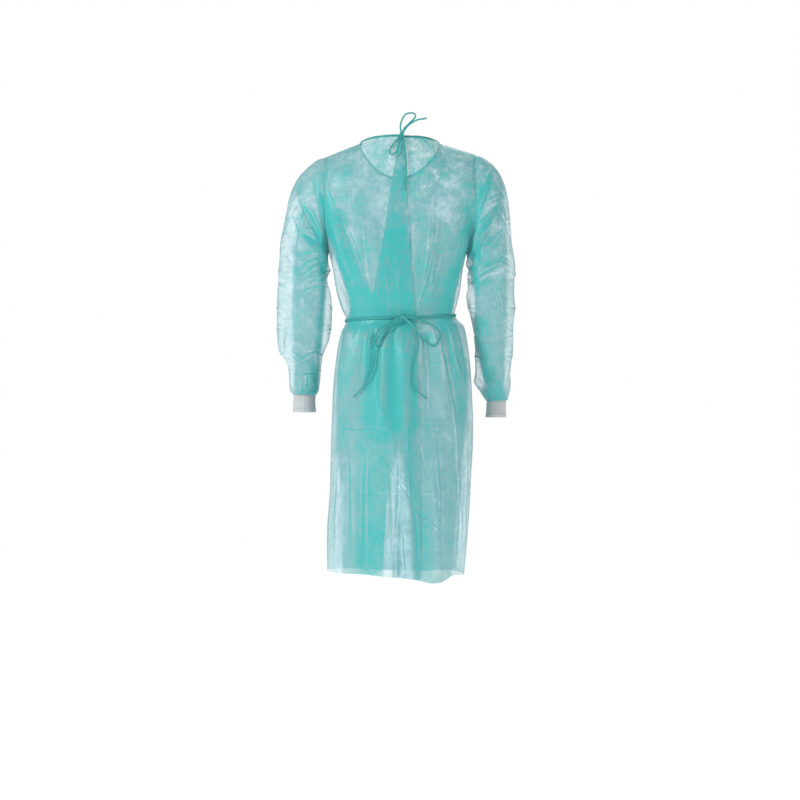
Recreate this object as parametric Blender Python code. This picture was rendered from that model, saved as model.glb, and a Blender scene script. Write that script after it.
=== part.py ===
"""An isolation gown as it hangs when worn, tied at the back of the neck and at the waist.

Metres. X runs across to the wearer's right, Y forwards, Z up, and the back of the gown
faces -Y. The origin is the middle of the body at the base of the neck.
"""
import math

import bmesh
import bpy
import numpy as np
from mathutils import Vector
from mathutils.bvhtree import BVHTree

MM = 0.001

# Cloth and seams
WALL = 1.2 * MM              # cloth wall
SEAM_GAP = 0.4 * MM          # between two pieces at a seam
LAP_INSET = 5.0 * MM         # how far the under back panel lies below the upper one
LAP_BLEND = 0.055            # width over which it comes back out beside the upper panel
FULLNESS = 0.88              # 1 is a plain ellipse, less is squarer

# Levels and neck
CHEST_Z = -0.263             # armpits
WAIST_Z = -0.432             # tie at the middle of the back
BELT_HALF = 4.5 * MM         # half the height of the flat that the waist tie lies on
ARMHOLE_BACK = 0.078         # depth of the armhole behind the shoulder seam
ARMHOLE_FRONT = 0.068
ARMHOLE_CUT_IN = 0.014       # how far the front armhole is scooped towards the chest
SHOULDER_ROUND = 0.122       # height over which the yoke curves over the shoulder
NECK_U = 0.45                # share of the half panel that the neckline takes

# Grid of a panel: yoke, bodice, waist flat and skirt rows, then its columns
YOKE_ROWS = 10
BODICE_ROWS = 5
SKIRT_ROWS = 11
SHOULDER_COLUMNS = 8
NECK_COLUMNS = 6             # from the middle to the neck point
LAP_COLUMNS = 6              # across the lap of the two back panels
SLEEVE_RINGS = 19
CUFF_RIBS = 40


def table(columns, *rows):
    """Rows of numbers under named columns, as one array for each column."""
    return dict(zip(columns.split(), np.array(rows, float).T))


def stretched(route, level, factor):
    """A route whose heights are drawn in, or let out, about a level by a factor."""
    return dict(route, z=level + (route["z"] - level) * factor)


# Horizontal sections of the body: the side edges (the armholes above the chest), the
# middle of the back and of the front, and the angle that a half section turns through.
BODY = table(
    "z left right back front turn",
    (-1.100, -0.181, 0.168, -0.158, 0.158, 90),
    (-1.000, -0.183, 0.177, -0.156, 0.157, 90),
    (-0.850, -0.174, 0.187, -0.153, 0.153, 90),
    (-0.717, -0.171, 0.193, -0.150, 0.149, 90),
    (-0.600, -0.166, 0.189, -0.143, 0.142, 90),
    (-0.520, -0.157, 0.182, -0.132, 0.132, 90),
    (-0.461, -0.145, 0.169, -0.112, 0.118, 90),
    (-0.438, -0.135, 0.149, -0.100, 0.108, 90),
    (-0.425, -0.134, 0.146, -0.099, 0.107, 90),
    (-0.404, -0.144, 0.151, -0.106, 0.114, 90),
    (-0.358, -0.159, 0.160, -0.117, 0.124, 90),
    (-0.310, -0.167, 0.165, -0.121, 0.127, 90),
    (-0.263, -0.177, 0.174, -0.122, 0.128, 90),
    (-0.210, -0.183, 0.190, -0.121, 0.127, 76),
    (-0.120, -0.186, 0.196, -0.116, 0.112, 64),
    (-0.010, -0.184, 0.195, -0.102, 0.085, 60),
    (0.040, -0.184, 0.195, -0.096, 0.070, 60),
)

# Neckline and shoulder tips: x, z on each side, and the middle of the neckline.
NECK_POINT = {"left": (-0.098, 0.0165), "right": (0.107, 0.0165)}
SHOULDER_TIP = {"left": (-0.184, -0.018), "right": (0.195, -0.011)}
NECK_MIDDLE = {"back": (-0.073, 0.0255), "front": (0.078, -0.066)}

# Waist tie and hem heights across a panel, u being -1 at the left side and 1 at the right.
BELT_LINE = table("u z", (-1, -0.438), (0, -0.433), (1, -0.423))
HEM_LINE = {
    "back": table("u z", (-1, -1.074), (-0.5, -1.073), (-0.1, -1.078), (0.16, -1.088),
                  (0.3, -1.096), (0.5, -1.091), (0.65, -1.081), (1, -1.087)),
    "front": table("u z", (-1, -1.074), (-0.4, -1.083), (0.1, -1.090), (0.6, -1.086),
                   (1, -1.087)),
}

# Free edges of the two back panels: x at each height.
UPPER_EDGE = table("z x", (-1.09, 0.056), (-0.70, 0.054), (-0.55, 0.050), (-0.43, 0.043),
                   (-0.346, 0.036), (-0.23, 0.028), (-0.10, 0.0205), (0.03, 0.0115))
UNDER_EDGE = table("z x", (-1.08, -0.012), (-0.76, -0.010), (-0.64, -0.052), (-0.50, -0.072),
                   (-0.43, -0.070), (-0.346, -0.058), (-0.23, -0.036), (-0.10, -0.0166),
                   (0.03, 0.003))

# Soft folds as lines from start to end on the back or the front, seen from behind.
# A negative height is a trough.
FOLDS = {
    "back": table(
        "x0 z0 x1 z1 height width",
        (-0.184, -0.120, -0.104, -0.372, 0.0070, 0.016),
        (-0.140, -0.150, -0.112, -0.350, -0.0050, 0.016),
        (0.176, -0.215, 0.126, -0.385, 0.0060, 0.016),
        (0.128, -0.160, 0.086, -0.405, -0.0040, 0.016),
        (0.086, -0.138, 0.056, -0.404, 0.0040, 0.016),
        (-0.125, -0.330, -0.080, -0.424, 0.0050, 0.016),
        (-0.074, -0.440, -0.090, -0.640, 0.0070, 0.017),
        (-0.034, -0.440, -0.038, -0.720, 0.0060, 0.017),
        (0.016, -0.440, 0.022, -0.800, 0.0070, 0.017),
        (0.098, -0.440, 0.124, -0.680, 0.0070, 0.017),
        (0.134, -0.440, 0.168, -0.660, 0.0060, 0.017),
        (-0.112, -0.440, -0.146, -0.640, 0.0060, 0.017),
        (0.070, -0.445, 0.084, -0.620, -0.0060, 0.017),
        (-0.054, -0.445, -0.062, -0.640, -0.0050, 0.017),
        (-0.140, -0.760, -0.141, -1.100, 0.0080, 0.024),
        (-0.085, -0.700, -0.080, -1.100, -0.0080, 0.024),
        (-0.020, -0.820, -0.030, -1.100, 0.0080, 0.024),
        (0.090, -0.640, 0.095, -1.100, 0.0090, 0.026),
        (0.138, -0.720, 0.132, -1.100, -0.0080, 0.024),
    ),
    "front": table(
        "x0 z0 x1 z1 height width",
        (-0.160, -0.150, -0.105, -0.380, 0.0060, 0.016),
        (0.165, -0.150, 0.108, -0.380, 0.0060, 0.016),
        (-0.060, -0.130, -0.048, -0.410, -0.0050, 0.016),
        (0.068, -0.150, 0.050, -0.410, -0.0050, 0.016),
        (-0.116, -0.440, -0.140, -0.700, 0.0080, 0.017),
        (-0.078, -0.440, -0.092, -0.640, -0.0060, 0.017),
        (-0.040, -0.440, -0.052, -0.760, 0.0080, 0.017),
        (0.004, -0.440, 0.000, -0.640, -0.0070, 0.017),
        (0.048, -0.440, 0.058, -0.780, 0.0080, 0.017),
        (0.090, -0.440, 0.108, -0.650, -0.0060, 0.017),
        (0.128, -0.440, 0.154, -0.700, 0.0080, 0.017),
        (-0.110, -0.740, -0.118, -1.100, 0.0100, 0.026),
        (-0.055, -0.700, -0.050, -1.100, -0.0080, 0.024),
        (0.006, -0.760, 0.012, -1.100, 0.0110, 0.028),
        (0.070, -0.700, 0.072, -1.100, -0.0080, 0.024),
        (0.124, -0.740, 0.128, -1.100, 0.0100, 0.026),
    ),
}

# The folds below the waist are deeper than listed, by how high they start: at the waist tie
# or lower on the skirt.
GATHERS_BELOW = -0.430
GATHER_DEEPER = 1.30
SKIRT_BELOW = -0.600
SKIRT_DEEPER = 1.15

# Soft folds of the sleeves, on the back and the front of each at once.
SLEEVE_FOLDS = {
    "left": table(
        "x0 z0 x1 z1 height width",
        (-0.172, -0.262, -0.262, -0.128, -0.007, 0.020),
        (-0.178, -0.290, -0.292, -0.215, 0.006, 0.020),
        (-0.180, -0.330, -0.290, -0.300, -0.006, 0.020),
        (-0.200, -0.520, -0.300, -0.490, 0.006, 0.020),
    ),
    "right": table(
        "x0 z0 x1 z1 height width",
        (0.168, -0.262, 0.262, -0.105, 0.007, 0.020),
        (0.176, -0.280, 0.285, -0.200, -0.006, 0.020),
        (0.178, -0.330, 0.298, -0.300, 0.006, 0.020),
        (0.200, -0.590, 0.296, -0.520, -0.005, 0.020),
    ),
}

# Sleeve rings in millimetres: outer and inner point of the outline, half depth front to
# back, and the depth of the ring's middle. The first ring is the armhole.
SLEEVE_RINGS_MM = {
    "left": table(
        "outer_x outer_z inner_x inner_z depth middle",
        (-184, -18, -177, -263, 73, -5),
        (-207, -26, -178.5, -277, 75, -5),
        (-230, -43, -176.5, -294, 76, -4),
        (-257, -72, -173.5, -311, 76, -2),
        (-277, -118, -180, -330, 74, 0),
        (-290, -179, -174.5, -353, 72, 4),
        (-301, -238, -169, -384, 70, 8),
        (-307, -307, -168.5, -420, 68, 12),
        (-312, -384, -171.5, -456, 66, 17),
        (-312, -448, -176.5, -487, 64, 21),
        (-310, -494, -187, -510, 60, 25),
        (-304, -521, -193, -528, 55, 27),
        (-290, -538, -197, -546, 47, 29),
        (-282, -560, -200, -567, 42, 31),
        (-281.5, -589, -202, -594, 40, 34),
        (-279, -614, -205, -617, 38, 36),
        (-272, -626, -210, -627, 32.5, 37),
    ),
    "right": table(
        "outer_x outer_z inner_x inner_z depth middle",
        (195, -11, 174, -263, 73, -5),
        (220, -21, 177, -277, 75, -5),
        (241, -36, 173.5, -294, 76, -4),
        (259, -57, 181, -312, 76, -2),
        (273, -88, 176, -331, 74, 0),
        (282, -130, 178.5, -352, 72, 3),
        (288, -180, 174.5, -375, 70, 6),
        (293, -240, 179, -400, 68, 9),
        (302, -303, 186, -427, 66, 12),
        (299, -363, 192, -457, 65, 16),
        (302, -407, 196, -487, 63, 19),
        (297, -450, 198.5, -512, 60, 22),
        (297, -500, 198.5, -539, 56, 26),
        (292, -544, 198.5, -567, 51, 29),
        (289, -578, 196, -590, 46, 32),
        (289, -611, 211, -619, 40, 35),
        (282, -641, 226.5, -643, 29, 37),
    ),
}

# Cuffs in millimetres: height, half width, half depth, and x of the middle.
CUFF_ROWS_MM = {
    "left": table("z width depth x", (-613, 28.2, 28.2, -241), (-671, 29.2, 28.5, -242)),
    "right": table("z width depth x", (-629, 24.8, 25.3, 254), (-684, 25.8, 26.0, 252)),
}
CUFF_MIDDLE_Y = 0.037
RIB_HEIGHT = 0.7 * MM

# Neck binding and ties
BINDING_HEIGHT = 6.5 * MM
BINDING_OUT = 0.6 * MM       # beyond the cloth's outer face
BINDING_IN = 1.8 * MM        # below it
NECK_POINT_ROOM = 2.2 * MM   # more room where the shoulder seams meet the neckline
BINDING_ENDS = (0.0065, 0.0135)   # x of its two ends, on each side of the knot
BELT_STANDS_OFF = 0.5 * MM
BELT_THICK = 1.5 * MM
TIE_WIDTH = 5.5 * MM
TIE_THICK = 1.6 * MM
TIE_POINTS = 24
TIE_REACH = 3.0 * MM         # half the width of cloth that a strip has to clear

KNOTS = table("x z radius_x radius_y radius_z",
              (0.010, 0.0315, 0.0052, 0.0040, 0.0055),
              (0.014, -0.4330, 0.0075, 0.0048, 0.0060))
KNOT_NAMES = ("neck_knot", "waist_knot")
NECK_TIE_Y = -0.080          # depth of the neck tie above the neckline

# The photo's camera stands lower than the neck, so what is nearer to it looks higher there.
# The neck routes below are as seen; their heights are drawn in above the knot and let out
# below it: the level that stays, and the factor.
NECK_STRETCH = {"neck_loop_up": (0.0315, 0.815), "neck_end_up": (0.0315, 0.78),
                "neck_loop_down": (0.0235, 1.20), "neck_end_down": (0.0240, 1.07)}

# Tie routes: x, z and how far the strip's middle stands out behind the cloth, or, for the
# strips above the neckline, behind the knot's own depth.
NECK_LOOP_UP = table(
    "x z out", (0.0068, 0.0400, 0.0), (0.0060, 0.0560, 0.001), (0.0105, 0.0740, 0.003),
    (0.0185, 0.0890, 0.005), (0.0310, 0.0940, 0.006), (0.0420, 0.0905, 0.006),
    (0.0435, 0.0820, 0.005), (0.0370, 0.0720, 0.004), (0.0265, 0.0600, 0.003),
    (0.0175, 0.0490, 0.0025), (0.0125, 0.0400, 0.0025))
NECK_END_UP = table(
    "x z out", (0.0150, 0.0385, 0.0052), (0.0240, 0.0540, 0.0060), (0.0370, 0.0665, 0.0070),
    (0.0500, 0.0745, 0.0075), (0.0600, 0.0765, 0.0080), (0.0720, 0.0795, 0.0080))
NECK_LOOP_DOWN = table(
    "x z out", (0.0062, 0.0235, 0.0040), (-0.0060, 0.0130, 0.0040), (-0.0160, 0.0010, 0.0045),
    (-0.0205, -0.0110, 0.0050), (-0.0150, -0.0165, 0.0065), (-0.0055, -0.0120, 0.0080),
    (0.0005, 0.0010, 0.0085), (0.0040, 0.0120, 0.0080), (0.0085, 0.0225, 0.0070))
NECK_END_DOWN = table(
    "x z out", (0.0135, 0.0240, 0.0045), (0.0155, 0.0080, 0.0045), (0.0180, -0.0180, 0.0045),
    (0.0205, -0.0500, 0.0045), (0.0200, -0.0800, 0.0045), (0.0170, -0.1060, 0.0045))
WAIST_LOOP_LEFT = table(
    "x z out", (0.0045, -0.4345, 0.0090), (-0.0060, -0.4380, 0.0090),
    (-0.0250, -0.4490, 0.0080), (-0.0390, -0.4590, 0.0070), (-0.0505, -0.4720, 0.0060),
    (-0.0625, -0.4900, 0.0070), (-0.0590, -0.5010, 0.0080), (-0.0480, -0.4990, 0.0095),
    (-0.0400, -0.4830, 0.0090), (-0.0290, -0.4660, 0.0090), (-0.0120, -0.4500, 0.0090),
    (0.0062, -0.4410, 0.0070))
WAIST_LOOP_RIGHT = table(
    "x z out", (0.0235, -0.4330, 0.0090), (0.0420, -0.4350, 0.0080),
    (0.0650, -0.4425, 0.0070), (0.0880, -0.4540, 0.0065), (0.1020, -0.4680, 0.0060),
    (0.1050, -0.4830, 0.0060), (0.0980, -0.4980, 0.0060), (0.0860, -0.5020, 0.0060),
    (0.0710, -0.4950, 0.0100), (0.0560, -0.4820, 0.0135), (0.0400, -0.4580, 0.0120),
    (0.0240, -0.4400, 0.0105))
WAIST_END_LEFT = table(
    "x z out", (0.0085, -0.4415, 0.0040), (-0.0150, -0.4560, 0.0040),
    (-0.0380, -0.4840, 0.0040), (-0.0530, -0.5140, 0.0040), (-0.0580, -0.5350, 0.0040),
    (-0.0600, -0.5560, 0.0040), (-0.0710, -0.5780, 0.0040), (-0.0820, -0.6000, 0.0040),
    (-0.0950, -0.6170, 0.0040), (-0.1120, -0.6330, 0.0040))
WAIST_END_RIGHT = table(
    "x z out", (0.0195, -0.4410, 0.0040), (0.0330, -0.4540, 0.0040),
    (0.0440, -0.4700, 0.0045), (0.0500, -0.4900, 0.0050), (0.0490, -0.5180, 0.0055),
    (0.0430, -0.5400, 0.0055), (0.0390, -0.5600, 0.0055), (0.0375, -0.5850, 0.0055),
    (0.0400, -0.6050, 0.0055), (0.0520, -0.6210, 0.0060), (0.0690, -0.6360, 0.0065))

COLOURS = {
    "cloth": (0.16, 0.55, 0.56, 1.0),
    "binding": (0.09, 0.44, 0.45, 1.0),
    "knit": (0.72, 0.74, 0.75, 1.0),
}


def follow(rows, column, at, key):
    """Smooth curve through a table's points, without overshoot, clamped at its ends."""
    order = np.argsort(rows[key])
    xs, ys = rows[key][order], rows[column][order]
    step = np.diff(xs)
    slope = np.diff(ys) / step
    product = slope[:-1] * slope[1:]
    total = np.where(slope[:-1] + slope[1:] == 0, 1.0, slope[:-1] + slope[1:])
    inner = np.where(product > 0, 2 * product / total, 0.0)
    tangent = np.concatenate([slope[:1], inner, slope[-1:]])
    at = np.clip(at, xs[0], xs[-1])
    i = np.clip(np.searchsorted(xs, at) - 1, 0, len(xs) - 2)
    t = (at - xs[i]) / step[i]
    return ((2 * t**3 - 3 * t**2 + 1) * ys[i] + (t**3 - 2 * t**2 + t) * step[i] * tangent[i]
            + (3 * t**2 - 2 * t**3) * ys[i + 1] + (t**3 - t**2) * step[i] * tangent[i + 1])


def ease(low, high, value):
    """0 below low, 1 above high, smooth between."""
    t = np.clip((value - low) / (high - low), 0, 1)
    return t * t * (3 - 2 * t)


def unit(vectors):
    length = np.linalg.norm(vectors, axis=-1, keepdims=True)
    return vectors / np.maximum(length, 1e-12)


def top_edge(side, u):
    """Neckline from the middle to the neck point, then the shoulder seam to its tip."""
    middle_y, middle_z = NECK_MIDDLE[side]
    left = u < 0
    neck_x = np.where(left, NECK_POINT["left"][0], NECK_POINT["right"][0])
    neck_z = np.where(left, NECK_POINT["left"][1], NECK_POINT["right"][1])
    tip_x = np.where(left, SHOULDER_TIP["left"][0], SHOULDER_TIP["right"][0])
    tip_z = np.where(left, SHOULDER_TIP["left"][1], SHOULDER_TIP["right"][1])
    turn = np.clip(abs(u) / NECK_U, 0, 1) * math.pi / 2
    along = np.clip((abs(u) - NECK_U) / (1 - NECK_U), 0, 1)
    x = neck_x * np.sin(turn) + (tip_x - neck_x) * along
    y = middle_y * np.cos(turn)
    z = neck_z + (middle_z - neck_z) * np.cos(turn)**1.4 + (tip_z - neck_z) * along
    return x, y, z


def deeper(rows):
    """Folds of a panel with those below the waist as deep as the cloth has them."""
    below_waist = np.where(rows["z0"] < SKIRT_BELOW, SKIRT_DEEPER, GATHER_DEEPER)
    factor = np.where(rows["z0"] < GATHERS_BELOW, below_waist, 1.0)
    return dict(rows, height=rows["height"] * factor)


def fold_height(rows, x, z):
    """Sum of the soft folds: a bell across each line, fading towards both of its ends."""
    total = np.zeros_like(x)
    for x0, z0, x1, z1, height, width in zip(*(rows[name] for name in rows)):
        length = math.hypot(x1 - x0, z1 - z0)
        along = ((x - x0) * (x1 - x0) + (z - z0) * (z1 - z0)) / length**2
        across = ((x - x0) * (z1 - z0) - (z - z0) * (x1 - x0)) / length
        fade = ease(0.0, 0.25, along) * (1 - ease(0.6, 1.05, along))
        if z1 < -1.05:
            fade = ease(0.0, 0.7, along)
        total += height * fade * np.exp(-(across / width)**2)
    return total


def surface(side, u, level):
    """Cloth points for u from -1 at the left side to 1 at the right. The level runs 0 to 1
    down the yoke, 1 to 2 down the bodice, 2 to 3 over the waist flat, 3 to 4 down the skirt."""
    sign = -1 if side == "back" else 1
    top_x, top_y, top_z = top_edge(side, u)
    belt_z = follow(BELT_LINE, "z", u, "u")
    hem_z = follow(HEM_LINE[side], "z", u, "u")
    part = np.clip([level, level - 1, level - 2, level - 3], 0, 1)
    z = (top_z + (CHEST_Z - top_z) * part[0] + (belt_z + BELT_HALF - CHEST_Z) * part[1]
         - 2 * BELT_HALF * part[2] + (hem_z - belt_z + BELT_HALF) * part[3])
    at = z - (belt_z - WAIST_Z) * np.exp(-((z - belt_z) / 0.08)**2)

    edge_x = np.where(u < 0, follow(BODY, "left", at, "z"), follow(BODY, "right", at, "z"))
    middle_y = follow(BODY, side, at, "z")
    turn = np.radians(follow(BODY, "turn", at, "z"))
    armhole_top = np.where(u < 0, SHOULDER_TIP["left"][1], SHOULDER_TIP["right"][1])
    drop = np.clip((armhole_top - z) / (armhole_top - CHEST_Z), 0, 1)
    hollow = np.clip(1 - np.clip(2 * drop - 1, 0, 1)**2, 0, 1)**0.62
    depth = ARMHOLE_BACK if side == "back" else ARMHOLE_FRONT
    soft = 1 - ease(0.35, 1.45, (armhole_top - z) / (armhole_top - CHEST_Z))
    edge_y = sign * depth * (soft + (hollow * (drop < 1) - soft) * abs(u)**14)
    if side == "front":
        edge_x = edge_x - np.sign(u) * ARMHOLE_CUT_IN * np.sin(math.pi * drop)**2
    angle = abs(u) * turn
    across = (np.sin(angle) / np.sin(turn))**FULLNESS
    inwards = np.clip((np.cos(angle) - np.cos(turn)) / (1 - np.cos(turn)), 0, 1)**FULLNESS
    section_x = edge_x * across
    section_y = edge_y + (middle_y - edge_y) * inwards

    below = np.clip((top_z - z) / SHOULDER_ROUND, 0, 1)
    sharp = 0.9 - 0.32 * ease(0.5, 1.0, abs(u) / NECK_U) - 0.08 * ease(NECK_U, 0.8, abs(u))
    rounding = np.clip(1 - (1 - below)**2, 0, 1)**sharp
    x = top_x + (section_x - top_x) * ease(0, 1, below)
    y = top_y + (section_y - top_y) * rounding + sign * SEAM_GAP / 2
    return np.stack([x, y, z], axis=-1)


def grid_normals(points, around=False):
    """Unit normals of a grid of points, rows by columns, forwards where X runs across."""
    down = np.gradient(points, axis=0)
    if around:
        across = (np.roll(points, -1, axis=1) - np.roll(points, 1, axis=1)) / 2
    else:
        across = np.gradient(points, axis=1)
    return unit(np.cross(across, down))


def free_u(edge, z):
    """The u at which a section has the free edge's x."""
    x = follow(edge, "x", z, "z")
    width = np.where(x < 0, -follow(BODY, "left", z, "z"), follow(BODY, "right", z, "z"))
    turn = np.radians(follow(BODY, "turn", z, "z"))
    share = (abs(x) / width)**(1 / FULLNESS) * np.sin(turn)
    return np.sign(x) * np.arcsin(np.clip(share, 0, 1)) / turn


def levels():
    yoke = (1 - np.cos(np.pi * np.arange(YOKE_ROWS + 1) / YOKE_ROWS)) / 2
    bodice = 1 + np.arange(1, BODICE_ROWS + 1) / BODICE_ROWS
    skirt = 3 + (np.arange(SKIRT_ROWS + 1) / SKIRT_ROWS)**1.25
    return np.concatenate([yoke, bodice, skirt])


def panel_columns(name, under, upper):
    """Columns of a panel for each row, with one at each neck point. The two back panels
    share the columns of their lap, which run between the two free edges."""
    shoulder = np.linspace(0, 1, SHOULDER_COLUMNS + 1)[None, :]
    left = -1 + (1 - NECK_U) * shoulder[:, :-1] + 0 * under
    right = NECK_U + (1 - NECK_U) * shoulder[:, 1:] + 0 * under
    if name == "front":
        middle = np.linspace(-NECK_U, NECK_U, 2 * NECK_COLUMNS + 1)[None, :] + 0 * under
        return np.concatenate([left, middle, right], axis=1)
    beside = np.linspace(0, 1, NECK_COLUMNS)[None, :]
    lap = under + (upper - under) * np.linspace(0, 1, LAP_COLUMNS + 1)[None, :]
    if name == "back_left":
        return np.concatenate([left, -NECK_U + (under + NECK_U) * beside[:, :-1], lap], axis=1)
    return np.concatenate([lap, upper + (NECK_U - upper) * beside[:, 1:], right], axis=1)


def panel_points(name):
    """Outer points of a panel with its folds, and their normals."""
    side = "front" if name == "front" else "back"
    level = levels()
    middle_z = surface("back", np.zeros_like(level), level)[:, 2]
    under = free_u(UNDER_EDGE, middle_z)[:, None]
    upper = free_u(UPPER_EDGE, middle_z)[:, None]
    u, level = np.broadcast_arrays(panel_columns(name, under, upper), level[:, None])
    points = surface(side, u, level)
    outwards = grid_normals(points) * (1 if side == "front" else -1)
    x, z = points[..., 0], points[..., 2]
    at_edges = (1 - abs(u)**10) * ease(0.05, 0.4, level)
    at_belt = 1 - (1 - ease(0.0, 0.25, 2 - level)) * (1 - ease(0.0, 0.06, level - 3))
    height = fold_height(deeper(FOLDS[side]), x, z) * at_edges * at_belt
    if name == "back_right":
        beside = x - follow(UPPER_EDGE, "x", z, "z")
        height = height - LAP_INSET * (1 - ease(0.006, LAP_BLEND, beside))
    points = points + outwards * height[..., None]
    outwards = grid_normals(points) * (1 if side == "front" else -1)
    return points, outwards


def keep_off_seams(normals, name):
    """At a seam the wall's thickness may not lean towards the piece on its other side."""
    sign = 1 if name == "front" else -1
    fixed = normals.copy()
    for row in (0, -1):
        fixed[row, :, 1] = sign * np.maximum(sign * fixed[row, :, 1], 0) if row else fixed[row, :, 1]
    shoulder = SHOULDER_COLUMNS + 1
    if name != "back_right":
        fixed[0, :shoulder, 1] = 0
        fixed[:, 0, 0] = np.minimum(fixed[:, 0, 0], 0)
        fixed[YOKE_ROWS:, 0, 1] = 0
    if name != "back_left":
        fixed[0, -shoulder:, 1] = 0
        fixed[:, -1, 0] = np.maximum(fixed[:, -1, 0], 0)
        fixed[YOKE_ROWS:, -1, 1] = 0
    return unit(fixed)


def make_object(name, vertices, faces, material):
    mesh = bpy.data.meshes.new(name)
    mesh.from_pydata([tuple(v) for v in vertices], [], faces)
    shape = bmesh.new()
    shape.from_mesh(mesh)
    bmesh.ops.recalc_face_normals(shape, faces=shape.faces)
    shape.to_mesh(mesh)
    shape.free()
    mesh.materials.append(material)
    mesh.shade_smooth()
    mesh.set_sharp_from_angle(angle=math.radians(50))
    piece = bpy.data.objects.new(name, mesh)
    bpy.context.scene.collection.objects.link(piece)
    return piece


def wall(name, outer, inner, around, material):
    """A closed wall between an outer and an inner grid, with a rim along every free edge."""
    rows, columns = outer.shape[:2]
    count = rows * columns
    index = np.arange(count).reshape(rows, columns)
    last = columns if around else columns - 1
    faces = []
    for i in range(rows - 1):
        for j in range(last):
            a, b = index[i, j], index[i, (j + 1) % columns]
            c, d = index[i + 1, (j + 1) % columns], index[i + 1, j]
            faces += [(a, b, c), (a, c, d)]
            faces += [(a + count, c + count, b + count), (a + count, d + count, c + count)]
    for i in (0, rows - 1):
        for j in range(last):
            a, b = index[i, j], index[i, (j + 1) % columns]
            faces += [(a, b, b + count), (a, b + count, a + count)]
    if not around:
        for j in (0, columns - 1):
            for i in range(rows - 1):
                a, b = index[i, j], index[i + 1, j]
                faces += [(a, b, b + count), (a, b + count, a + count)]
    vertices = np.concatenate([outer.reshape(-1, 3), inner.reshape(-1, 3)])
    faces = [tuple(int(v) for v in face) for face in faces]
    return make_object(name, vertices, faces, material)


def sweep(name, sections, closed, material):
    """A solid through sections, stations by corners, with caps where it isn't closed."""
    stations, corners = sections.shape[:2]
    index = np.arange(stations * corners).reshape(stations, corners)
    faces = []
    for i in range(stations if closed else stations - 1):
        for j in range(corners):
            a, b = index[i, j], index[i, (j + 1) % corners]
            c = index[(i + 1) % stations, (j + 1) % corners]
            d = index[(i + 1) % stations, j]
            faces += [(a, b, c), (a, c, d)]
    if not closed:
        faces += [tuple(index[0]), tuple(index[-1][::-1])]
    faces = [tuple(int(v) for v in face) for face in faces]
    return make_object(name, sections.reshape(-1, 3), faces, material)


def make_panel(name, material):
    points, outwards = panel_points(name)
    inner = points - keep_off_seams(outwards, name) * WALL
    wall(name, points, inner, False, material)


def sleeve_points(side):
    """Outer points of a sleeve, ring by ring from the armhole, and their normals."""
    sign = -1 if side == "left" else 1
    column = 0 if side == "left" else -1
    behind = panel_points("back_left" if side == "left" else "back_right")[0][:, column]
    before = panel_points("front")[0][:, column]
    armhole = np.concatenate([behind[:YOKE_ROWS + 1], before[1:YOKE_ROWS][::-1]])
    armhole[[0, YOKE_ROWS], 1] = 0
    armhole[:, 0] += sign * SEAM_GAP

    rings = SLEEVE_RINGS_MM[side]
    rings = dict(rings, step=np.arange(len(rings["depth"])))
    at = np.linspace(0, len(rings["depth"]) - 1, SLEEVE_RINGS)
    values = {name: follow(rings, name, at, "step")[:, None] * MM
              for name in rings if name != "step"}
    angle = (np.arange(2 * YOKE_ROWS) * np.pi / YOKE_ROWS)[None, :]
    down = (1 - np.sign(np.cos(angle)) * abs(np.cos(angle))**0.94) / 2
    x = values["outer_x"] + (values["inner_x"] - values["outer_x"]) * down
    z = values["outer_z"] + (values["inner_z"] - values["outer_z"]) * down
    y = values["middle"] - values["depth"] * np.sign(np.sin(angle)) * abs(np.sin(angle))**0.94
    points = np.stack(np.broadcast_arrays(x, y, z), axis=-1)
    fade = np.clip(1 - at / 3, 0, 1)[:, None, None]
    points = points + (armhole - points[0])[None] * fade
    outwards = grid_normals(points, around=True) * sign
    down_sleeve = np.linspace(0, 1, SLEEVE_RINGS)[:, None]
    height = fold_height(SLEEVE_FOLDS[side], points[..., 0], points[..., 2])
    height = height * np.sin(angle)**2 * ease(0.0, 0.2, down_sleeve)
    points = points + outwards * (height * ease(0.0, 0.15, 1 - down_sleeve))[..., None]
    return points, grid_normals(points, around=True) * sign


def make_sleeve(side, material):
    points, outwards = sleeve_points(side)
    sign = -1 if side == "left" else 1
    fixed = outwards.copy()
    fixed[0, :, 0] = sign * np.minimum(sign * fixed[0, :, 0], 0)
    wall("sleeve_" + side, points, points - unit(fixed) * WALL, True, material)


def make_cuff(side, material):
    """A knit tube with raised ribs outside and a plain inside."""
    rows = CUFF_ROWS_MM[side]
    angle = (np.arange(2 * CUFF_RIBS) * np.pi / CUFF_RIBS)[None, :]
    radial = np.stack([np.cos(angle), np.sin(angle), 0 * angle], axis=-1)
    middle = np.stack([rows["x"] * MM, 0 * rows["x"] + CUFF_MIDDLE_Y, rows["z"] * MM], axis=-1)
    size = np.stack([rows["width"], rows["depth"], 0 * rows["z"]], axis=-1)[:, None] * MM
    base = middle[:, None] + size * radial
    ribs = RIB_HEIGHT * (np.arange(2 * CUFF_RIBS) % 2)[None, :, None]
    wall("cuff_" + side, base + (ribs - RIB_HEIGHT) * radial,
         base - (WALL + RIB_HEIGHT) * radial, True, material)


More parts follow.
